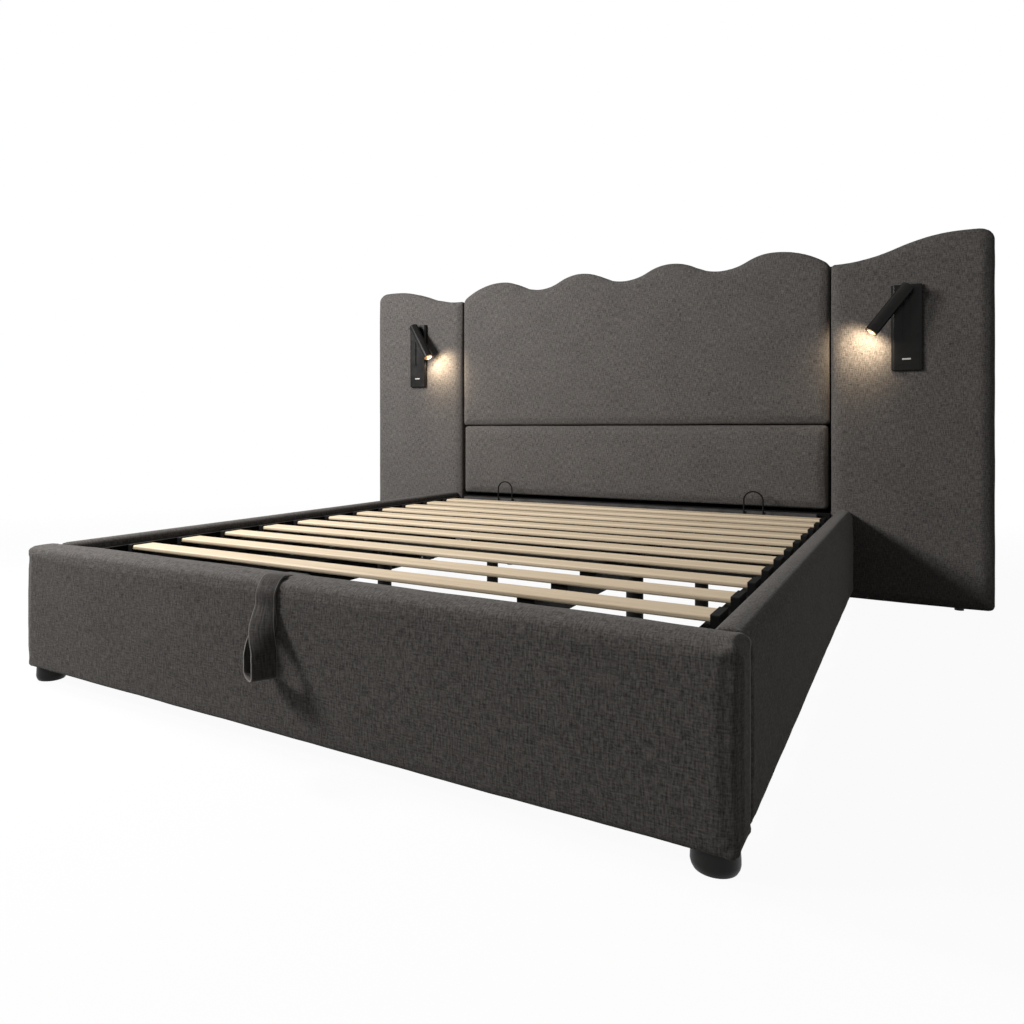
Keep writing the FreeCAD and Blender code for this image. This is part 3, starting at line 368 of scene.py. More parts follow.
@dataclass(frozen=True)
class Beech:
    """Light beech laminate with fine flecks and grain along the slat."""

    name: str
    shift: float
    pale: Colour = (0.670, 0.548, 0.395)
    deep: Colour = (0.515, 0.406, 0.276)
    grain_per_metre: float = 170.0
    board_scale: Place = (0.9, 14.0, 14.0)
    pore_share: float = 0.35
    grain_height: float = 0.12 * MM

    def build(self) -> Material:
        """Makes the material.

        Returns:
            The material.
        """
        shader = Shader(self.name)
        fine = self.grain_per_metre
        move = (self.shift * 3.7, self.shift * 11.3, self.shift * 5.1)
        streaks = shader.noise("Object", (fine * 0.018, fine, fine), 4.0, 0.6, move)
        rays = shader.noise("Object", (fine * 0.35, fine * 3.0, fine * 3.0), 1.0, move=move)
        board = shader.noise("Object", self.board_scale, move=move)
        pores = shader.spread(rays, 0.60, 0.72)
        tone = shader.spread(streaks * 0.65 + board * 0.35, 0.34, 0.66)
        wood = shader.blend(tone, self.deep, self.pale)
        wood = shader.blend(pores * self.pore_share, wood, self.deep)
        shader.set(Base_Color=wood, Roughness=shader.spread(streaks, 0.3, 0.7, 0.58, 0.46))
        shader.set(Specular_IOR_Level=0.15)
        shader.bump(streaks * 0.5 - pores * 0.5, self.grain_height)
        return shader.material


@dataclass(frozen=True)
class PowderCoat:
    """Satin powder coat with a fine orange peel and a little dust."""

    name: str
    colour: Colour
    roughness: float = 0.5
    shine: float = 0.1
    peel_per_metre: float = 900.0
    peel_height: float = 0.05 * MM
    dust_per_metre: float = 22.0
    lift: float = 1.8

    def build(self) -> Material:
        """Makes the material.

        Returns:
            The material.
        """
        shader = Shader(self.name)
        dust = shader.noise("Object", even(self.dust_per_metre), 4.0)
        worn = shader.spread(dust, 0.35, 0.75)
        shader.set(Base_Color=shader.blend(worn, self.colour, lighter(self.colour, self.lift, DUST_LIFT)))
        shader.set(Roughness=shader.spread(dust, 0.3, 0.7, self.roughness - 0.06, self.roughness + 0.08))
        shader.set(Specular_IOR_Level=self.shine)
        shader.bump(shader.noise("Object", even(self.peel_per_metre)), self.peel_height)
        return shader.material


@dataclass(frozen=True)
class PlatedMetal:
    """Zinc or chrome plating with faint drawing marks."""

    name: str
    colour: Colour
    roughness: float
    marks: Place
    mark_height: float = 0.03 * MM
    clouds_per_metre: float = 30.0
    dull: float = 0.72

    def build(self) -> Material:
        """Makes the material.

        Returns:
            The material.
        """
        shader = Shader(self.name)
        drawn = shader.noise("Object", self.marks)
        cloud = shader.noise("Object", even(self.clouds_per_metre), 3.0)
        shader.set(Base_Color=shader.blend(cloud, lighter(self.colour, self.dull), self.colour), Metallic=1.0)
        shader.set(Roughness=shader.spread(drawn, 0.3, 0.7, self.roughness, self.roughness + 0.16))
        shader.bump(drawn, self.mark_height)
        return shader.material


@dataclass(frozen=True)
class MouldedPlastic:
    """Moulded plastic with a fine spark texture."""

    name: str
    colour: Colour
    roughness: float
    shine: float = 0.1
    texture: float = 0.08 * MM
    grain_per_metre: float = 1400.0
    clouds_per_metre: float = 40.0
    lift: float = 1.5

    def build(self) -> Material:
        """Makes the material.

        Returns:
            The material.
        """
        shader = Shader(self.name)
        grain = shader.noise("Object", even(self.grain_per_metre))
        cloud = shader.noise("Object", even(self.clouds_per_metre), 3.0)
        shader.set(Base_Color=shader.blend(cloud, self.colour, lighter(self.colour, self.lift, DUST_LIFT)))
        shader.set(Roughness=shader.spread(grain, 0.3, 0.7, self.roughness - 0.05, self.roughness + 0.07))
        shader.set(Specular_IOR_Level=self.shine)
        shader.bump(grain, self.texture)
        return shader.material


@dataclass(frozen=True)
class LitLens:
    """Warm glowing lens with a copper ring round its rim."""

    name: str
    middle: Place
    radius: float
    glow: Colour = (1.0, 0.60, 0.28)
    dusk: Colour = (0.42, 0.20, 0.08)
    ring: Colour = (0.85, 0.50, 0.26)
    glow_end: float = 0.45
    ring_start: float = 0.78
    ring_peak: float = 0.86
    strength: float = 0.45
    ripples_per_metre: float = 600.0
    ripple_height: float = 0.1 * MM

    def build(self) -> Material:
        """Makes the material.

        Returns:
            The material.
        """
        shader = Shader(self.name)
        start = shader.node("ShaderNodeTexCoord", output="Object")
        offset = shader.node("ShaderNodeVectorMath", {"0": start, "1": self.middle}, operation="SUBTRACT")
        away = shader.node("ShaderNodeVectorMath", {"0": offset}, output="Value", operation="LENGTH")
        stops = [(0.0, self.glow), (self.glow_end, self.glow), (self.ring_start, self.dusk),
                 (self.ring_peak, self.ring), (1.0, self.dusk)]
        colour = shader.node("ShaderNodeValToRGB", {"Fac": away * (1.0 / self.radius)}, stops=stops)
        ripple = shader.noise("Object", even(self.ripples_per_metre), 1.0)
        shader.set(Base_Color=colour, Roughness=shader.spread(ripple, 0.3, 0.7, 0.25, 0.4))
        shader.set(Emission_Color=colour, Emission_Strength=self.strength, Specular_IOR_Level=0.2)
        shader.bump(ripple, self.ripple_height)
        return shader.material


class Finishes:
    """Every finish of the bed, each built once."""

    def __init__(self) -> None:
        """Builds the materials."""
        self.cloth = WovenCloth().build()
        self.lining = LiningCloth().build()
        self.webbing = StrapWebbing().build()
        self.board = MouldedPlastic("lined_board", (0.0065, 0.0060, 0.0058), 0.9, 0.04, 0.2 * MM).build()
        self.steel = PowderCoat("black_powder_coat", (0.0048, 0.0044, 0.0041), 0.55, 0.09).build()
        # Lighter copy of the black frame coat for the head tube: its grey is a painted highlight for the
        # light on the tube's top and front.
        self.head_steel = PowderCoat("grey_powder_coat", (0.040, 0.038, 0.037), 0.5, 0.12).build()
        self.zinc = PlatedMetal("zinc_plating", (0.52, 0.52, 0.54), 0.36, (40.0, 900.0, 900.0)).build()
        self.chrome = PlatedMetal("plated_rod", (0.75, 0.75, 0.77), 0.12, (700.0, 30.0, 700.0)).build()
        self.holder = MouldedPlastic("holder_plastic", (0.0045, 0.0042, 0.0040), 0.6, 0.08).build()
        self.foot = MouldedPlastic("foot_plastic", (0.0060, 0.0056, 0.0052), 0.42, 0.18).build()
        self.lamp = PowderCoat("lamp_black", (0.0044, 0.0039, 0.0035), 0.30, 0.13, 1600.0).build()
        self.button = MouldedPlastic("button_white", (0.40, 0.39, 0.37), 0.35, 0.3).build()
        # Pale piping: along the rails it is the light seam where the cloth meets the lining; round the foot
        # panel's back edge its pale colour is a painted highlight.
        self.seam = MouldedPlastic("seam_piping", (0.250, 0.230, 0.214), 0.85, 0.05).build()


# Modelling helpers


def only(*objects: Piece) -> None:
    """Selects some objects alone and makes the first active.

    Args:
        *objects: What to select.
    """
    if bpy.context.object and bpy.context.object.mode != "OBJECT":
        bpy.ops.object.mode_set(mode="OBJECT")
    bpy.ops.object.select_all(action="DESELECT")
    for item in objects:
        item.select_set(True)
    bpy.context.view_layer.objects.active = objects[0]


def add(name: str, data: bpy.types.ID) -> Piece:
    """Adds an object to the scene.

    Args:
        name: Its name.
        data: Its mesh, curve, camera or light.

    Returns:
        The object.
    """
    item = bpy.data.objects.new(name, data)
    bpy.context.scene.collection.objects.link(item)
    return item


@contextmanager
def editing(piece: Piece) -> Iterator[None]:
    """Edit mode on one piece, with all of it selected.

    Args:
        piece: The piece to edit.
    """
    only(piece)
    bpy.ops.object.mode_set(mode="EDIT")
    bpy.ops.mesh.select_all(action="SELECT")
    yield
    bpy.ops.object.mode_set(mode="OBJECT")


def apply(piece: Piece, kind: str, **settings) -> None:
    """Adds a modifier to a piece and applies it.

    Args:
        piece: The piece.
        kind: The modifier's type.
        **settings: The modifier's settings.
    """
    only(piece)
    modifier = piece.modifiers.new(kind.lower(), kind)
    for key, value in settings.items():
        setattr(modifier, key, value)
    bpy.ops.object.modifier_apply(modifier=modifier.name)


def settle(piece: Piece) -> None:
    """Puts a piece's place, turn and size into its mesh."""
    only(piece)
    bpy.ops.object.transform_apply(location=True, rotation=True, scale=True)


def smooth(piece: Piece, degrees: float = 40.0) -> None:
    """Shades a piece smooth below an angle."""
    only(piece)
    bpy.ops.object.shade_smooth_by_angle(angle=math.radians(degrees))


def dress(piece: Piece, material: Material) -> None:
    """Gives a piece one material all over."""
    piece.data.materials.clear()
    piece.data.materials.append(material)


def rows(piece: Piece, what: str) -> Rows:
    """One vector of each vertex of a piece, as rows.

    Args:
        piece: The piece.
        what: The vertices' value to read.

    Returns:
        The vectors.
    """
    flat = np.empty(len(piece.data.vertices) * 3)
    piece.data.vertices.foreach_get(what, flat)
    return flat.reshape(-1, 3)


def points(piece: Piece) -> Rows:
    """A piece's vertices as rows of coordinates."""
    return rows(piece, "co")


def normals(piece: Piece) -> Rows:
    """The normals of a piece's vertices, as rows."""
    return rows(piece, "normal")


def put_points(piece: Piece, where: Rows) -> None:
    """Writes a piece's vertices back."""
    piece.data.vertices.foreach_set("co", where.reshape(-1))
    piece.data.update()


def skin(piece: Piece) -> BVHTree:
    """A search tree over a piece's faces."""
    faces = [tuple(face.vertices) for face in piece.data.polygons]
    return BVHTree.FromPolygons([vertex.co.copy() for vertex in piece.data.vertices], faces)


def map_piece(piece: Piece, name: str, flat: Rows) -> None:
    """Writes a UV map from one place on the cloth for each vertex.

    Args:
        piece: The piece to map.
        name: The map's name.
        flat: The place of each vertex on the flat cloth, in metres.
    """
    layer = piece.data.uv_layers.new(name=name)
    corner = np.empty(len(piece.data.loops), dtype=np.int32)
    piece.data.loops.foreach_get("vertex_index", corner)
    layer.data.foreach_set("uv", flat[corner].astype(np.float32).reshape(-1))


def piping(name: str, path: Sequence[Sequence[float]], radius: float) -> Piece:
    """A thin round cord sewn along a path.

    Args:
        name: The piece's name.
        path: The points that it follows.
        radius: Its radius.

    Returns:
        The cord as a mesh.
    """
    data = bpy.data.curves.new(name, "CURVE")
    data.dimensions = "3D"
    data.bevel_depth = radius
    data.bevel_resolution = 2
    data.use_fill_caps = True
    spline = data.splines.new("POLY")
    spline.points.add(len(path) - 1)
    for point, where in zip(spline.points, path):
        point.co = (*where, 1.0)
    only(add(name, data))
    bpy.ops.object.convert(target="MESH")
    piece = bpy.context.object
    smooth(piece, 60.0)
    return piece


def copy_of(node: str, name: str) -> Piece:
    """A merged copy of a construction node, free to be reshaped.

    Args:
        node: The node's name.
        name: The copy's name.

    Returns:
        The copy.
    """
    piece = add(name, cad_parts[node].data.copy())
    with editing(piece):
        bpy.ops.mesh.remove_doubles(threshold=0.01 * MM)
        bpy.ops.mesh.normals_make_consistent(inside=False)
    return piece


def finish_piece(piece: Piece, body: str, material: Material,
                 nodes: Iterable[str] = ()) -> None:
    """Dresses a piece, puts it on its body and reports it.

    Args:
        piece: The finished piece.
        body: The body that it rides on.
        material: Its material.
        nodes: Construction nodes that it stands for.
    """
    dress(piece, material)
    if nodes:
        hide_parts(*nodes)
    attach(piece, body)
    log.info("%s: %d faces on %s", piece.name, len(piece.data.polygons), body)


# Upholstery


def ease(share: Rows) -> Rows:
    """A smooth step from 0 to 1 as the share goes from 0 to 1."""
    held = np.clip(share, 0.0, 1.0)
    return held * held * (3.0 - 2.0 * held)


@dataclass(frozen=True)
class EdgeRoll:
    """The wide roll of a padded front's edges into its sides."""

    radius: float = 24.0 * MM
    outer_radius: float = 24.0 * MM
    outer_x: float = 9.0
    fade: float = 80.0 * MM
    given: float = 16.0 * MM
    crown: float = 12.0 * MM
    reach: float = 70.0 * MM
    swell: float = 0.0
    side_facing: float = 0.3
    ends_only: bool = False
    end_near: float = 3.0 * MM

    def drop(self, radius: Union[float, Rows], inward: Rows) -> Rows:
        """How far a rounding lies behind the flat front, at distances from the side."""
        short = np.clip(radius - inward, 0.0, None)
        return radius - np.sqrt(np.maximum(radius * radius - short * short, 0.0))

    def outer(self, x: Rows) -> Rows:
        """How near places across the bed are to the outer edge, from 0 to 1."""
        return ease((np.abs(x) - self.outer_x + self.fade) / self.fade)

    def bend(self, piece: Piece) -> None:
        """Rolls the front's edges back further than the construction solid's rounding.

        Args:
            piece: The piece to shape.
        """
        where = points(piece)
        facing = normals(piece)
        depth = where[:, 1] - where[:, 1].min()
        side = (np.abs(facing[:, 1]) < self.side_facing) & (depth > self.given + self.crown)
        if self.ends_only:
            side &= np.abs(where[:, 0]) > where[:, 0].max() - self.end_near
        walls = np.nonzero(side)[0]
        tree = KDTree(len(walls))
        for count, index in enumerate(walls):
            tree.insert((where[index, 0], 0.0, where[index, 2]), count)
        tree.balance()
        near = np.nonzero(depth < self.reach)[0]
        found = walls[[tree.find((x, 0.0, z))[1] for x, _, z in where[near]]]
        away = facing[found][:, [0, 2]]
        away /= np.linalg.norm(away, axis=1, keepdims=True)
        inward = np.maximum(0.0, ((where[found] - where[near])[:, [0, 2]] * away).sum(axis=1))
        radius = self.radius + (self.outer_radius - self.radius) * self.outer(where[found, 0])
        more = self.drop(radius, inward) - self.drop(self.given, inward)
        span = self.reach - self.given - self.crown
        where[near, 1] += more * np.clip((self.reach - depth[near]) / span, 0.0, 1.0)
        where[:, 0] += np.sign(where[:, 0]) * self.swell * self.outer(where[:, 0])
        put_points(piece, where)


def fuller(fill: float, across: Rows, upward: Rows, cloth: Rows) -> Rows:
    """The share by which a rounded edge is filled out.

    Args:
        fill: The share at the middle of the rounding.
        across: Distances beyond the start of the rounding, one way.
        upward: The same, the other way.
        cloth: Which points may move.

    Returns:
        The share at each point.
    """
    angle = np.arctan2(np.maximum(upward, 0.0), np.maximum(across, 0.0))
    return fill * np.sin(2.0 * angle) ** 2 * ((across > 0.0) & (upward > 0.0) & cloth)


@dataclass(frozen=True)
class PanelCrest:
    """The foot panel's raised top, its fuller corners and front edge, and its lower hem."""

    low: Sequence[float]
    high: Sequence[float]
    nest: PointMap
    rise: float = 9.0 * MM
    end_fade: float = 16.0 * MM
    top_reach: float = 45.0 * MM
    corner: float = 21.0 * MM
    corner_fill: float = 0.27
    brow: float = 25.0 * MM
    brow_fill: float = 0.14
    hem: float = 4.5 * MM
    hem_depth: float = 30.0 * MM
    hem_height: float = 45.0 * MM

    def lift(self, where: Rows) -> Rows:
        """How much higher some points stand for the crest.

        Args:
            where: The points, as rows.

        Returns:
            The rise of each point.
        """
        across = (where[:, 1] - self.low[1]) / (self.high[1] - self.low[1])
        hump = np.clip(1.0 - (2.0 * across - 1.0) ** 4, 0.0, 1.0)
        ends = ease((self.high[0] - np.abs(where[:, 0])) / self.end_fade)
        near = ease((where[:, 2] - self.high[2] + self.top_reach) / self.top_reach)
        return self.rise * hump * ends * near

    def bend(self, piece: Piece) -> None:
        """Fills the corners and the front edge, raises the crest and lowers the hem.

        Args:
            piece: The panel's cloth.
        """
        where = points(piece)
        cloth = ~self.nest(where)
        rise = self.lift(where) * cloth
        beyond = np.abs(where[:, 0]) - self.high[0] + self.corner
        for edge, way in ((self.low[2], -1.0), (self.high[2], 1.0)):
            outward = way * (where[:, 2] - edge) + self.corner
            share = fuller(self.corner_fill, beyond, outward, cloth)
            where[:, 0] += np.sign(where[:, 0]) * beyond * share
            where[:, 2] += way * outward * share
        front = self.low[1] + self.brow - where[:, 1]
        over = where[:, 2] - self.high[2] + self.brow
        share = fuller(self.brow_fill, front, over, cloth)
        where[:, 1] -= front * share
        where[:, 2] += over * share + rise
        hem = 1.0 - ease((where[:, 1] - self.low[1]) / self.hem_depth)
        where[:, 2] -= self.hem * hem * (1.0 - ease((where[:, 2] - self.low[2]) / self.hem_height)) * cloth
        put_points(piece, where)


@dataclass(frozen=True)
class RailHem:
    """The fuller lower outer edge of a side rail, where its cloth is folded under."""

    outer: float
    bottom: float
    out: float = 4.0 * MM
    down: float = 3.0 * MM
    height: float = 60.0 * MM
    depth: float = 30.0 * MM

    def bend(self, piece: Piece) -> None:
        """Moves the lower outer edge out and down.

        Args:
            piece: The rail's cloth.
        """
        where = points(piece)
        inward = ease(np.abs(self.outer - where[:, 0]) / self.depth)
        share = (1.0 - inward) * (1.0 - ease((where[:, 2] - self.bottom) / self.height))
        where[:, 0] += math.copysign(self.out, self.outer) * share
        where[:, 2] -= self.down * share
        put_points(piece, where)


def at_back(where: Rows) -> Rows:
    """Which points lie near a headboard pad's back, where its cloth is stapled."""
    return where[:, 1] > where[:, 1].max() - 20.0 * MM


@dataclass
class Upholstered:
    """One padded piece, stapled at its back and blown up a little as its foam does."""

    finishes: Finishes
    node: str
    unroll: PointMap
    held: PointMap = at_back
    bends: Sequence[Callable[[Piece], None]] = ()
    voxel: float = 7.5 * MM
    inset: float = 0.8 * MM
    limit: float = 4.0 * MM
    pull: float = 0.8 * MM
    pressure: float = 4.0
    frames: int = 12
    fill: float = 0.85
    seed: float = 0.0
    hollow: float = 1.1 * MM
    hollows_per_metre: float = 5.5
    finer_per_metre: float = 17.0
    finer_share: float = 0.4

    def shape(self) -> Piece:
        """An even net that lies on the construction solid.

        Returns:
            The net.
        """
        piece = copy_of(self.node, self.node + "_cloth")
        solid = skin(piece)
        apply(piece, "REMESH", mode="VOXEL", voxel_size=self.voxel, use_smooth_shade=True)
        for _ in range(2):
            apply(piece, "SMOOTH", factor=0.4, iterations=2)
            put_points(piece, np.array([solid.find_nearest(Vector(p))[0] for p in points(piece)]))
        where = points(piece)
        free = ~self.held(where)
        put_points(piece, where - normals(piece) * (free * self.inset)[:, None])
        return piece

    def inflate(self, piece: Piece) -> None:
        """Presses the foam against the cloth, and keeps each point near its place.

        Args:
            piece: The piece to shape.
        """
        before, facing = points(piece), normals(piece)
        pins = piece.vertex_groups.new(name="stapled")
        pins.add([int(i) for i in np.nonzero(self.held(before))[0]], 1.0, "REPLACE")
        only(piece)
        cloth = piece.modifiers.new("cloth", "CLOTH")
        settings = {"quality": 3, "mass": 0.4, "tension_stiffness": 25.0, "compression_stiffness": 25.0,
                    "bending_stiffness": 1.2, "use_pressure": True, "uniform_pressure_force": self.pressure,
                    "vertex_group_mass": pins.name}
        for key, value in settings.items():
            setattr(cloth.settings, key, value)
        cloth.settings.effector_weights.gravity = 0.0
        cloth.point_cache.frame_start = 1
        cloth.point_cache.frame_end = self.frames
        for step in range(1, self.frames + 1):
            bpy.context.scene.frame_set(step)
        bpy.ops.object.modifier_apply(modifier=cloth.name)
        moved = points(piece) - before
        length = np.linalg.norm(moved, axis=1)
        reach = np.where((moved * facing).sum(axis=1) < 0.0, self.pull, self.limit)
        put_points(piece, before + moved * np.minimum(1.0, reach / np.maximum(length, 1e-9))[:, None])
        piece.vertex_groups.clear()
        bpy.context.scene.frame_set(1)

    def crumple(self, piece: Piece) -> None:
        """Adds the slow hollows that foam has under taut cloth.

        Args:
            piece: The piece to shape.
        """
        where = points(piece)
        shift = Vector((self.seed, self.seed * 2.0, self.seed * 3.0))
        slow, finer = self.hollows_per_metre, self.finer_per_metre
        lift = np.array([noise.noise(Vector(p) * slow + shift)
                         + self.finer_share * noise.noise(Vector(p) * finer + shift) for p in where])
        free = ~self.held(where)
        put_points(piece, where + normals(piece) * (lift * free * self.hollow)[:, None])

    def build(self) -> Piece:
        """Makes the piece.

        Returns:
            The finished piece.
        """
        piece = self.shape()
        for bend in self.bends:
            bend(piece)
        self.inflate(piece)
        self.crumple(piece)
        map_piece(piece, "weave", self.unroll(points(piece)))
        smooth(piece, 60.0)
        finish_piece(piece, "root", self.finishes.cloth, [self.node])
        return piece


def wrap_front(front: float, rim: float = 50.0 * MM) -> PointMap:
    """A cloth map for a panel that faces the foot, wrapped round its rim.

    Args:
        front: The depth of its front face.
        rim: How far from the edge the wrapping starts.

    Returns:
        A function from points to the cloth's coordinates.
    """

    def unroll(where: Rows) -> Rows:
        """Cloth coordinates of some points.

        Args:
            where: The points, as rows.

        Returns:
            Their places on the flat cloth.
        """
        low, high = where.min(axis=0), where.max(axis=0)
        away = where - (low + high) / 2
        share = np.clip((np.abs(away) - (high - low) / 2 + rim) / rim, 0, 1)
        return (where + np.sign(away) * (where[:, 1:2] - front) * share)[:, [0, 2]]

    return unroll


def wrap_rail(outer: float) -> PointMap:
    """A cloth map for a side rail, up its outer face, over its top and down inside.

    Args:
        outer: The place of its outer face across the bed.

    Returns:
        A function from points to the cloth's coordinates.
    """

    def unroll(where: Rows) -> Rows:
        """Cloth coordinates of some points.

        Args:
            where: The points, as rows.

        Returns:
            Their places on the flat cloth.
        """
        inward = np.abs(outer - where[:, 0])
        top = where[:, 2].max()
        inside = inward > inward.max() / 2
        height = np.where(inside, top + top - where[:, 2], where[:, 2])
        return np.stack([where[:, 1], height + inward], axis=1)

    return unroll


@dataclass
class StretchedCloth:
    """A sheet of black lining stapled tight over boards."""

    finishes: Finishes
    name: str
    node: str
    low: Place
    high: Place
    rests_on: tuple[str, ...]
    thickness: float = 0.8 * MM
    cell: float = 24.0 * MM
    ripple: float = 0.35 * MM
    ripples_per_metre: float = 9.0

    def build(self) -> None:
        """Makes the sheet."""
        size = [top - bottom for bottom, top in zip(self.low, self.high)]
        faces_side = size[0] < size[1]
        width = size[1] if faces_side else size[0]
        turn = (math.radians(90.0), 0.0, math.radians(90.0) if faces_side else 0.0)
        middle = [(bottom + top) / 2 for bottom, top in zip(self.low, self.high)]
        cells = [max(2, round(span / self.cell)) for span in (width, size[2])]
        bpy.ops.object.select_all(action="DESELECT")
        bpy.ops.mesh.primitive_grid_add(x_subdivisions=cells[0], y_subdivisions=cells[1], size=1.0,
                                        location=middle, rotation=turn)
        piece = bpy.context.object
        piece.name = self.name
        piece.scale = (width, size[2], 1.0)
        settle(piece)
        where = points(piece)
        axis = 0 if faces_side else 1
        where[:, axis] += [self.ripple * noise.noise(Vector(p) * self.ripples_per_metre) for p in where]
        put_points(piece, where)
        apply(piece, "SOLIDIFY", thickness=self.thickness, offset=0.0)
        smooth(piece)
        finish_piece(piece, "root", self.finishes.lining, [self.node])


@dataclass
class Headboard:
    """Two cushions between two wings, on boards with a stapled back cloth."""

    finishes: Finishes
    cushions: tuple[str, ...] = ("upper_cushion", "lower_cushion")
    wings: tuple[str, ...] = ("left_wing_padding", "right_wing_padding")
    boards: tuple[str, ...] = ("headboard_centre_board", "wing_boards", "head_rail_board")
    cloth_t: float = 2.0 * MM
    board_gap: float = 1.0 * MM
    staple_size: Place = (12.0 * MM, 0.9 * MM, 1.3 * MM)
    staple_bevel: float = 0.25 * MM
    staple_inset: float = 9.0 * MM
    staple_pitch: float = 68.0 * MM
    wing_roll: float = 34.0 * MM
    wing_swell: float = 12.0 * MM

    def back_cloths(self) -> list[StretchedCloth]:
        """The three sheets on the back, at the places of their construction solids.

        Returns:
            The sheets.
        """
        low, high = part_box("headboard_centre_board")
        wing_low, wing_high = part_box("wing_boards")
        back = (high[1], high[1] + self.cloth_t)
        inner = high[0] + self.board_gap
        spans = {
            "centre": (low[0], high[0], high[2], "headboard_centre_board"),
            "left": (wing_low[0], -inner, wing_high[2], "wing_boards"),
            "right": (inner, wing_high[0], wing_high[2], "wing_boards"),
        }
        return [StretchedCloth(self.finishes, f"{label}_back_cloth", "headboard_back_cloth",
                               (x0, back[0], low[2]), (x1, back[1], top), (board,))
                for label, (x0, x1, top, board) in spans.items()]

    def staples(self, sheets: Iterable[StretchedCloth]) -> None:
        """Rows of staples round the edges of the back cloths.

        Args:
            sheets: The sheets that they hold.
        """
        bpy.ops.object.select_all(action="DESELECT")
        bpy.ops.mesh.primitive_cube_add(size=1.0, scale=self.staple_size)
        first = bpy.context.object
        first.name = "back_staples"
        settle(first)
        with editing(first):
            bpy.ops.mesh.bevel(offset=self.staple_bevel, segments=1)
        shape = points(first)
        upright = shape[:, [2, 1, 0]]
        placed = []
        for sheet in sheets:
            outer = (sheet.low[1] + sheet.high[1]) / 2 + sheet.thickness / 2
            x0, x1 = sheet.low[0] + self.staple_inset, sheet.high[0] - self.staple_inset
            z0, z1 = sheet.low[2] + self.staple_inset, sheet.high[2] - self.staple_inset
            for x in np.linspace(x0, x1, round((x1 - x0) / self.staple_pitch)):
                placed += [(shape, (x, outer, z)) for z in (z0, z1)]
            for z in np.linspace(z0, z1, round((z1 - z0) / self.staple_pitch))[1:-1]:
                placed += [(upright, (x, outer, z)) for x in (x0, x1)]
        copies = []
        for form, place in placed:
            copies.append(add("staple", first.data.copy()))
            put_points(copies[-1], form + np.array(place))
        bpy.data.objects.remove(first)
        copies[0].name = "back_staples"
        only(*copies)
        bpy.ops.object.join()
        piece = bpy.context.object
        with editing(piece):
            bpy.ops.mesh.normals_make_consistent(inside=False)
        finish_piece(piece, "root", self.finishes.zinc)

    def build(self) -> None:
        """Makes the padded pieces and the back of the headboard."""
        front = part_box("upper_cushion")[0][1]
        outer_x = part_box("right_wing_padding")[1][0]
        rolled = EdgeRoll(outer_radius=self.wing_roll, outer_x=outer_x, swell=self.wing_swell)
        for count, node in enumerate(self.cushions + self.wings):
            roll = rolled if node in self.wings else EdgeRoll()
            pad = Upholstered(self.finishes, node, wrap_front(front), bends=(roll.bend,), seed=1.7 + count)
            pad.build()
        for node in self.boards:
            dress(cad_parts[node], self.finishes.board)
        sheets = self.back_cloths()
        for sheet in sheets:
            sheet.build()
        self.staples(sheets)


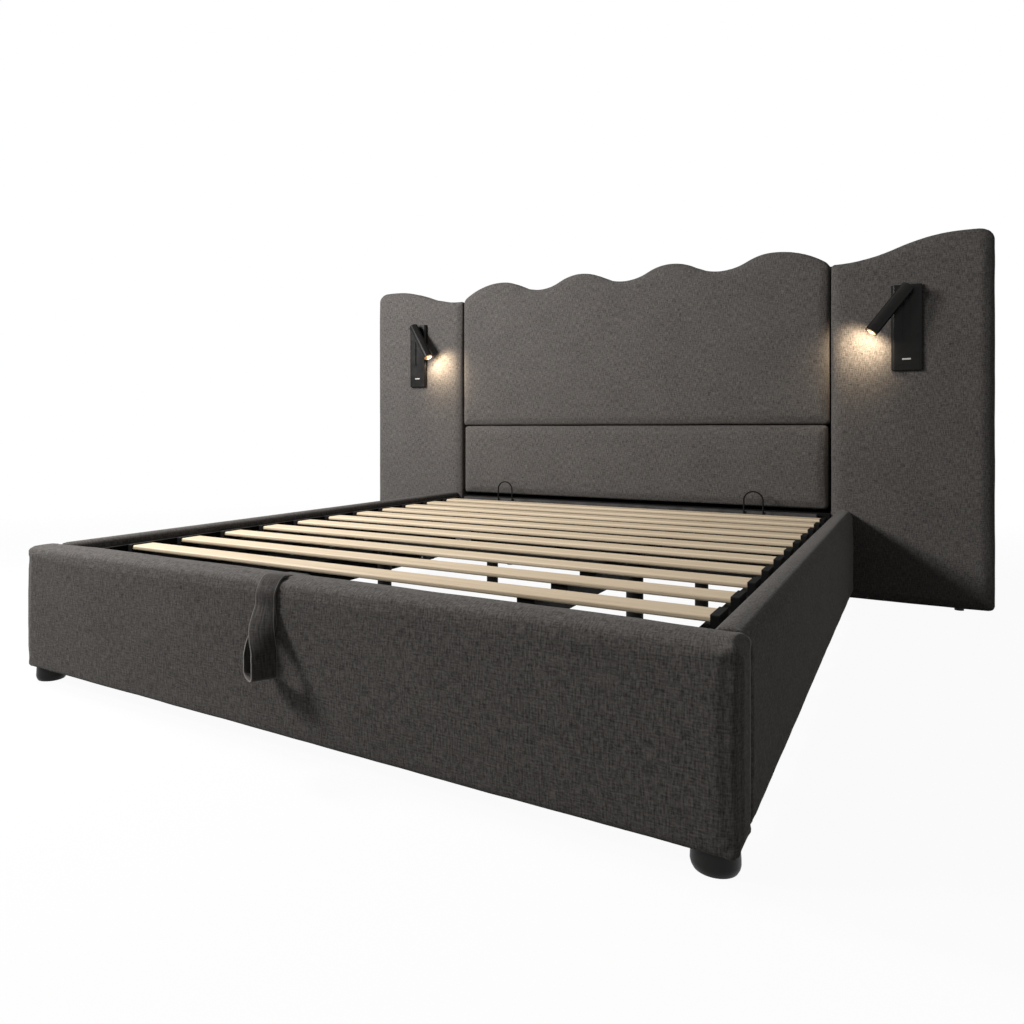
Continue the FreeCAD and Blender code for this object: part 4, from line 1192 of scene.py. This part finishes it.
@dataclass
class Surround:
    """The padded foot panel and side rails, their piping and the lining inside them."""

    finishes: Finishes
    panel: str = "foot_panel_padding"
    lining_t: float = 2.0 * MM
    piping_radius: float = 1.5 * MM
    piping_in: float = 2.5 * MM
    piping_sunk: float = 0.3
    hug: float = 2.5 * MM
    back_held: float = 12.0 * MM
    end_roll: float = 15.0 * MM
    end_round: float = 11.0 * MM
    corner_radius: float = 21.0 * MM
    corner_steps: int = 8
    top_steps: int = 40
    end_steps: int = 6
    ray_start: float = 0.2
    rail_back: float = 2.0 * MM
    panel_voxel: float = 5.5 * MM
    rail_voxel: float = 6.0 * MM

    def crest(self) -> PanelCrest:
        """The foot panel's crest, with the test for the hollow that its core sits in.

        Returns:
            The crest.
        """
        core_low, core_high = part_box("foot_panel_core")
        hug = self.hug

        def nest(where: Rows) -> Rows:
            """Points on the core's own faces.

            Args:
                where: The points, as rows.

            Returns:
                Whether each lies there.
            """
            across = np.abs(where[:, 0]) < core_high[0] + hug
            upward = (where[:, 2] < core_high[2] + hug) & (where[:, 2] > core_low[2] - hug)
            return across & upward & (where[:, 1] > core_low[1] - hug)

        return PanelCrest(*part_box(self.panel), nest)

    def panel_piping(self, covered: Piece) -> None:
        """Piping round the back edge of the foot panel, laid on its cloth; its pale colour is a painted
        highlight along that edge.

        Args:
            covered: The panel's cloth.
        """
        cloth = skin(covered)
        low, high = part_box(self.panel)
        depth = high[1] - self.piping_in
        half = high[0] - self.corner_radius
        top = high[2] - self.corner_radius
        bottom = low[2] + self.corner_radius
        turn = 90.0 / self.corner_steps
        aims = [((-half, bottom), 270.0 - turn * k) for k in range(self.corner_steps)]
        aims += [((-half, z), 180.0) for z in np.linspace(bottom, top, self.end_steps)]
        aims += [((-half, top), 180.0 - turn * k) for k in range(1, self.corner_steps)]
        aims += [((x, top), 90.0) for x in np.linspace(-half, half, self.top_steps)]
        aims += [((half, top), 90.0 - turn * k) for k in range(1, self.corner_steps)]
        aims += [((half, z), 0.0) for z in np.linspace(top, bottom, self.end_steps)]
        aims += [((half, bottom), -turn * k) for k in range(1, self.corner_steps + 1)]
        path = []
        for (x, z), degrees in aims:
            away = Vector((math.cos(math.radians(degrees)), 0.0, math.sin(math.radians(degrees))))
            start = Vector((x, depth, z)) + away * self.ray_start
            hit = cloth.ray_cast(start, -away)[0]
            if hit is not None:
                path.append(tuple(hit + away * self.piping_radius * self.piping_sunk))
        piece = piping("foot_panel_piping", path, self.piping_radius)
        # The pale piping on the panel's back edge is a painted highlight of that edge.
        finish_piece(piece, "root", self.finishes.seam)

    def rail_piping(self, side: Side) -> None:
        """Piping where the rail's cloth meets the lining.

        Args:
            side: The rail's side.
        """
        low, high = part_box(side.label + "_rail_board")
        inner = low[0] if side is Side.RIGHT else high[0]
        x = inner - side.value * self.lining_t
        path = [(x, low[1] + self.lining_t, high[2]), (x, high[1] - self.lining_t, high[2])]
        piece = piping(side.label + "_rail_piping", path, self.piping_radius)
        finish_piece(piece, "root", self.finishes.seam)

    def linings(self) -> list[StretchedCloth]:
        """The sheets on the inner faces of the boards.

        Returns:
            The sheets.
        """
        core_low, core_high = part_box("foot_panel_core")
        low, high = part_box("right_rail_board")
        inner = low[0] - self.lining_t
        spans = {"foot": ((-inner, core_high[1], core_low[2]),
                          (inner, core_high[1] + self.lining_t, core_high[2]), "foot_panel_core")}
        for side in Side:
            near, far = sorted((side.value * inner, side.value * low[0]))
            spans[side.label + "_rail"] = ((near, *low[1:]), (far, *high[1:]), side.label + "_rail_board")
        return [StretchedCloth(self.finishes, f"{label}_lining", "storage_lining", start, end, (board,))
                for label, (start, end, board) in spans.items()]

    def build(self) -> None:
        """Makes the padded pieces of the surround and dresses their boards."""
        low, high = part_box(self.panel)
        crest = self.crest()
        roll = EdgeRoll(radius=self.end_roll, given=self.end_round, crown=0.0, ends_only=True)

        def panel_held(where: Rows) -> Rows:
            """Points of the panel's cloth that touch its core or its back."""
            return crest.nest(where) | (where[:, 1] > high[1] - self.back_held)

        panel = Upholstered(self.finishes, self.panel, wrap_front(low[1]), panel_held,
                            (roll.bend, crest.bend), voxel=self.panel_voxel, seed=9.1)
        covered = panel.build()
        for side in Side:
            node = side.label + "_rail_padding"
            low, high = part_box(node)
            outer = high[0] if side is Side.RIGHT else low[0]
            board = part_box(side.label + "_rail_board")
            board_outer = board[1][0] if side is Side.RIGHT else board[0][0]

            def rail_held(where: Rows, line: float = board_outer, sign: int = side.value) -> Rows:
                """Points of the rail's cloth on the board's side of its outer face."""
                return sign * (where[:, 0] - line) < self.rail_back

            hem = RailHem(outer, low[2])
            pad = Upholstered(self.finishes, node, wrap_rail(outer), rail_held, (hem.bend,),
                              voxel=self.rail_voxel, seed=4.0 + side.value)
            pad.build()
            dress(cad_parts[side.label + "_rail_board"], self.finishes.board)
            self.rail_piping(side)
        dress(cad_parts["foot_panel_core"], self.finishes.board)
        self.panel_piping(covered)
        for sheet in self.linings():
            sheet.build()


@dataclass
class PullStrap:
    """Loop of webbing that the bed is lifted by, its lower end twisted aside."""

    finishes: Finishes
    crest: PanelCrest
    node: str = "pull_strap"
    edge_round: float = 0.7 * MM
    twist_degrees: float = 60.0
    loop_aside: float = 20.0 * MM
    loop_open: float = 1.0
    loop_short: float = 0.11
    twist_top: float = 0.312
    twist_run: float = 0.105
    half_width: float = STRAP_HALF
    cut_pitch: float = 6.0 * MM
    clear: float = 5.0 * MM
    levels: int = 24
    level_reach: float = 9.0 * MM
    over_share: float = 0.25

    def turned(self, where: Rows, middle: float) -> Rows:
        """The hanging loop turned aside and kept clear of the panel.

        Args:
            where: The strap's points.
            middle: The middle of the strap across the bed.

        Returns:
            The moved points.
        """
        hanging = (where[:, 1] < self.crest.low[1] + self.clear) & (where[:, 2] < self.twist_top)
        levels = np.linspace(where[:, 2].min(), self.twist_top, self.levels)
        centres = []
        for level in levels:
            row = where[hanging & (np.abs(where[:, 2] - level) < self.level_reach), 1]
            centres.append((row.min() + row.max()) / 2)
        centre = np.interp(where[:, 2], levels, centres)
        share = ease((self.twist_top - where[:, 2]) / self.twist_run) * hanging
        angle = math.radians(self.twist_degrees) * share
        cosine, sine = np.cos(angle), np.sin(angle)
        across, depth = where[:, 0] - middle, (where[:, 1] - centre) * (1.0 + self.loop_open * share)
        moved = where.copy()
        moved[:, 0] = middle + self.loop_aside * share + across * cosine - depth * sine
        moved[:, 1] = centre + across * sine + depth * cosine - self.half_width * sine
        moved[:, 2] += (self.twist_top - where[:, 2]) * self.loop_short * share
        return moved

    def build(self) -> None:
        """Makes the strap."""
        piece = copy_of(self.node, "pull_strap_webbing")
        low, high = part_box(self.node)
        with editing(piece):
            bpy.ops.mesh.dissolve_limited(angle_limit=math.radians(1.0))
            for height in np.arange(low[2] + self.cut_pitch, self.twist_top, self.cut_pitch):
                bpy.ops.mesh.select_all(action="SELECT")
                bpy.ops.mesh.bisect(plane_co=(0.0, 0.0, height), plane_no=(0.0, 0.0, 1.0))
        apply(piece, "BEVEL", width=self.edge_round, segments=2, limit_method="ANGLE",
              angle_limit=math.radians(50.0))
        apply(piece, "TRIANGULATE")
        where = points(piece)
        where[:, 2] += self.crest.lift(where)
        put_points(piece, where)
        middle = (low[0] + high[0]) / 2
        front = low[1] + (high[1] - low[1]) * self.over_share
        along = where[:, 2] + np.maximum(0.0, where[:, 1] - front)
        map_piece(piece, "weave", np.stack([where[:, 0] - middle, along], axis=1))
        put_points(piece, self.turned(where, middle))
        smooth(piece, 35.0)
        finish_piece(piece, "lift_frame", self.finishes.webbing, [self.node])


@dataclass
class ReadingLamps:
    """The glowing lenses and the light that they throw on the wings."""

    swivel_degrees: float = 35.5
    tilt_degrees: float = 12.0
    lens_radius: float = 19.8 * MM
    light_ahead: float = 12.0 * MM
    light_radius: float = 9.0 * MM
    spot_x: float = 0.928
    spot_z: float = 0.963
    power: float = 6.2
    cone_degrees: float = 128.0
    colour: Colour = (1.0, 0.80, 0.56)

    def build(self) -> None:
        """Dresses the lenses and adds a small warm light at each."""
        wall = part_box("upper_cushion")[0][1]
        for side in Side:
            node = side.label + "_lamp_lens"
            low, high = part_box(node)
            middle = tuple((a + b) / 2 for a, b in zip(low, high))
            dress(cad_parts[node], LitLens(side.label + "_lens_glow", middle, self.lens_radius).build())
            swivel, tilt = math.radians(self.swivel_degrees), math.radians(self.tilt_degrees)
            hang = Vector((-side.value * math.sin(swivel), 0.0, -math.cos(swivel)))
            way = hang * math.cos(tilt) + Vector((0.0, -1.0, 0.0)) * math.sin(tilt)
            data = bpy.data.lights.new(side.label + "_lamp_light", "SPOT")
            data.energy = self.power
            data.color = self.colour
            data.spot_size = math.radians(self.cone_degrees)
            data.spot_blend = 1.0
            data.shadow_soft_size = self.light_radius
            light = add(data.name, data)
            light.location = Vector(middle) + way * self.light_ahead
            aim = Vector((side.value * self.spot_x, wall, self.spot_z)) - light.location
            light.rotation_euler = aim.to_track_quat("-Z", "Y").to_euler()
            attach(light, side.label + "_lamp_head")
            log.info("%s: lit", node)


# Bare construction nodes


def dress_frame(finishes: Finishes) -> None:
    """Gives the carried-over construction nodes their finishes.

    Args:
        finishes: The bed's finishes.
    """
    groups = {
        finishes.foot: ["bun_feet", "headboard_glides"],
        finishes.zinc: ["corner_brackets", "corner_screws", "lift_plate_screws", "long_arms", "short_arms"],
        finishes.steel: ["lift_base_plates", "foot_tube", "centre_tubes", "cross_tubes", "support_legs",
                         "mattress_hoops", "gas_spring_brackets", "gas_cylinders"],
        # The head tube is the same black steel; its lighter coat is painted light.
        finishes.head_steel: ["head_tube"],
        finishes.holder: ["slat_holders", "slat_pads"],
        finishes.chrome: ["gas_rods"],
        finishes.lamp: ["lamp_back_plates"],
        finishes.button: [],
    }
    for side in Side:
        groups[finishes.steel].append(side.label + "_side_tube")
        groups[finishes.lamp] += [f"{side.label}_lamp_{part}" for part in ("cover", "knuckle", "head")]
        groups[finishes.button].append(side.label + "_lamp_button")
    by_node = {node: material for material, nodes in groups.items() for node in nodes}
    for node, material in by_node.items():
        dress(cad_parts[node], material)
    slats = sorted(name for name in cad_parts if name.startswith("slat_") and name[5:].isdigit())
    for count, node in enumerate(slats):
        dress(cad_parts[node], Beech(f"beech_{count + 1:02d}", float(count + 1)).build())
    log.info("dressed %d construction nodes", len(by_node) + len(slats))


# Studio


@dataclass(frozen=True)
class Studio:
    """Pale floor, two soft lamps on the left and an even white surround."""

    camera_place: Place = (1.1140, -2.2758, 0.6580)
    camera_turn: float = 31.76
    focal_px: float = 779.4
    centre_px: tuple[float, float] = (440.0, 429.3)
    frame_px: float = 1024.0
    sensor: float = 36.0
    far: float = 200.0
    front_place: Place = (-2.36, -2.94, 2.25)
    front_aim: Place = (0.0, -1.0, 0.2)
    front_size: float = 0.9
    front_power: float = 93.0
    head_place: Place = (-1.90, -1.00, 2.03)
    head_aim: Place = (0.2, 1.04, 0.8)
    head_size: float = 0.7
    head_power: float = 93.0
    world_strength: float = 0.18
    floor_size: float = 60.0
    floor_low: float = 0.1 * MM
    floor_pale: Colour = (0.80, 0.80, 0.80)
    floor_bounce: Colour = (0.30, 0.30, 0.30)
    floor_white: float = 0.95
    shadow_reach: float = 2.4

    def camera(self) -> None:
        """The camera at the photograph's place and angle."""
        data = bpy.data.cameras.new("camera")
        data.sensor_width = self.sensor
        data.lens = self.focal_px / self.frame_px * self.sensor
        data.shift_x = (self.frame_px / 2 - self.centre_px[0]) / self.frame_px
        data.shift_y = (self.centre_px[1] - self.frame_px / 2) / self.frame_px
        data.clip_end = self.far
        eye = add("camera", data)
        eye.location = self.camera_place
        eye.rotation_euler = (math.radians(90.0), 0.0, math.radians(self.camera_turn))
        bpy.context.scene.camera = eye

    def lamp(self, name: str, place: Place, aim: Place, size: float, power: float) -> None:
        """Adds one soft lamp.

        Args:
            name: The lamp's name.
            place: Where it stands.
            aim: The point that it faces.
            size: Its diameter.
            power: Its power in watts.
        """
        data = bpy.data.lights.new(name, "AREA")
        data.shape = "DISK"
        data.size = size
        data.energy = power
        lamp = add(name, data)
        lamp.location = place
        lamp.rotation_euler = (Vector(aim) - Vector(place)).to_track_quat("-Z", "Y").to_euler()

    def seen(self, tree: bpy.types.NodeTree) -> Socket:
        """One for rays that see the background itself, zero for rays that only light things.

        Args:
            tree: The tree to add it to.

        Returns:
            The value for each ray.
        """
        path = tree.nodes.new("ShaderNodeLightPath")
        sight, gloss, glass = (Socket(tree, path.outputs[f"Is {kind} Ray"])
                               for kind in ("Camera", "Glossy", "Transmission"))
        return sight.math("MAXIMUM", gloss).math("MAXIMUM", glass)

    def surround(self) -> None:
        """The world's even light, white to the camera."""
        world = bpy.data.worlds.new("surround")
        world.use_nodes = True
        tree = world.node_tree
        back = tree.nodes["Background"]
        back.inputs["Color"].default_value = (1.0, 1.0, 1.0, 1.0)
        strength = self.seen(tree) * (1.0 - self.world_strength) + self.world_strength
        join(tree, back.inputs["Strength"], strength)
        bpy.context.scene.world = world

    def floor(self) -> None:
        """A pale floor that keeps the bed's shadow."""
        bpy.ops.object.select_all(action="DESELECT")
        bpy.ops.mesh.primitive_plane_add(size=self.floor_size, location=(0.0, 0.0, -self.floor_low))
        floor = bpy.context.object
        floor.name = "floor"
        settle(floor)
        shader = Shader("pale_floor")
        plain = self.seen(shader.tree)
        shader.set(Base_Color=shader.blend(plain, self.floor_bounce, self.floor_pale), Roughness=0.9)
        shader.set(Specular_IOR_Level=0.0)
        start = shader.node("ShaderNodeTexCoord", output="Object")
        reach = shader.node("ShaderNodeVectorMath", {"0": start}, output="Value", operation="LENGTH")
        white = shader.spread(reach, self.shadow_reach, self.shadow_reach * 2.0, self.floor_white, 1.0)
        glow = shader.tree.nodes.new("ShaderNodeEmission")
        mix = shader.tree.nodes.new("ShaderNodeMixShader")
        join(shader.tree, mix.inputs[0], plain * white)
        shader.tree.links.new(shader.surface.outputs[0], mix.inputs[1])
        shader.tree.links.new(glow.outputs[0], mix.inputs[2])
        end = shader.tree.nodes["Material Output"]
        shader.tree.links.new(mix.outputs[0], end.inputs["Surface"])
        dress(floor, shader.material)

    def build(self) -> None:
        """Sets the whole studio."""
        self.camera()
        self.lamp("front_lamp", self.front_place, self.front_aim, self.front_size, self.front_power)
        self.lamp("head_lamp", self.head_place, self.head_aim, self.head_size, self.head_power)
        self.surround()
        self.floor()
        bpy.context.scene.view_settings.view_transform = "Standard"


def main() -> None:
    """Builds the bed and its studio."""
    logging.basicConfig(level=logging.INFO, format="%(message)s")
    Studio().build()
    finishes = Finishes()
    dress_frame(finishes)
    Headboard(finishes).build()
    surround = Surround(finishes)
    surround.build()
    PullStrap(finishes, surround.crest()).build()
    ReadingLamps().build()


if __name__ == "__main__":
    main()
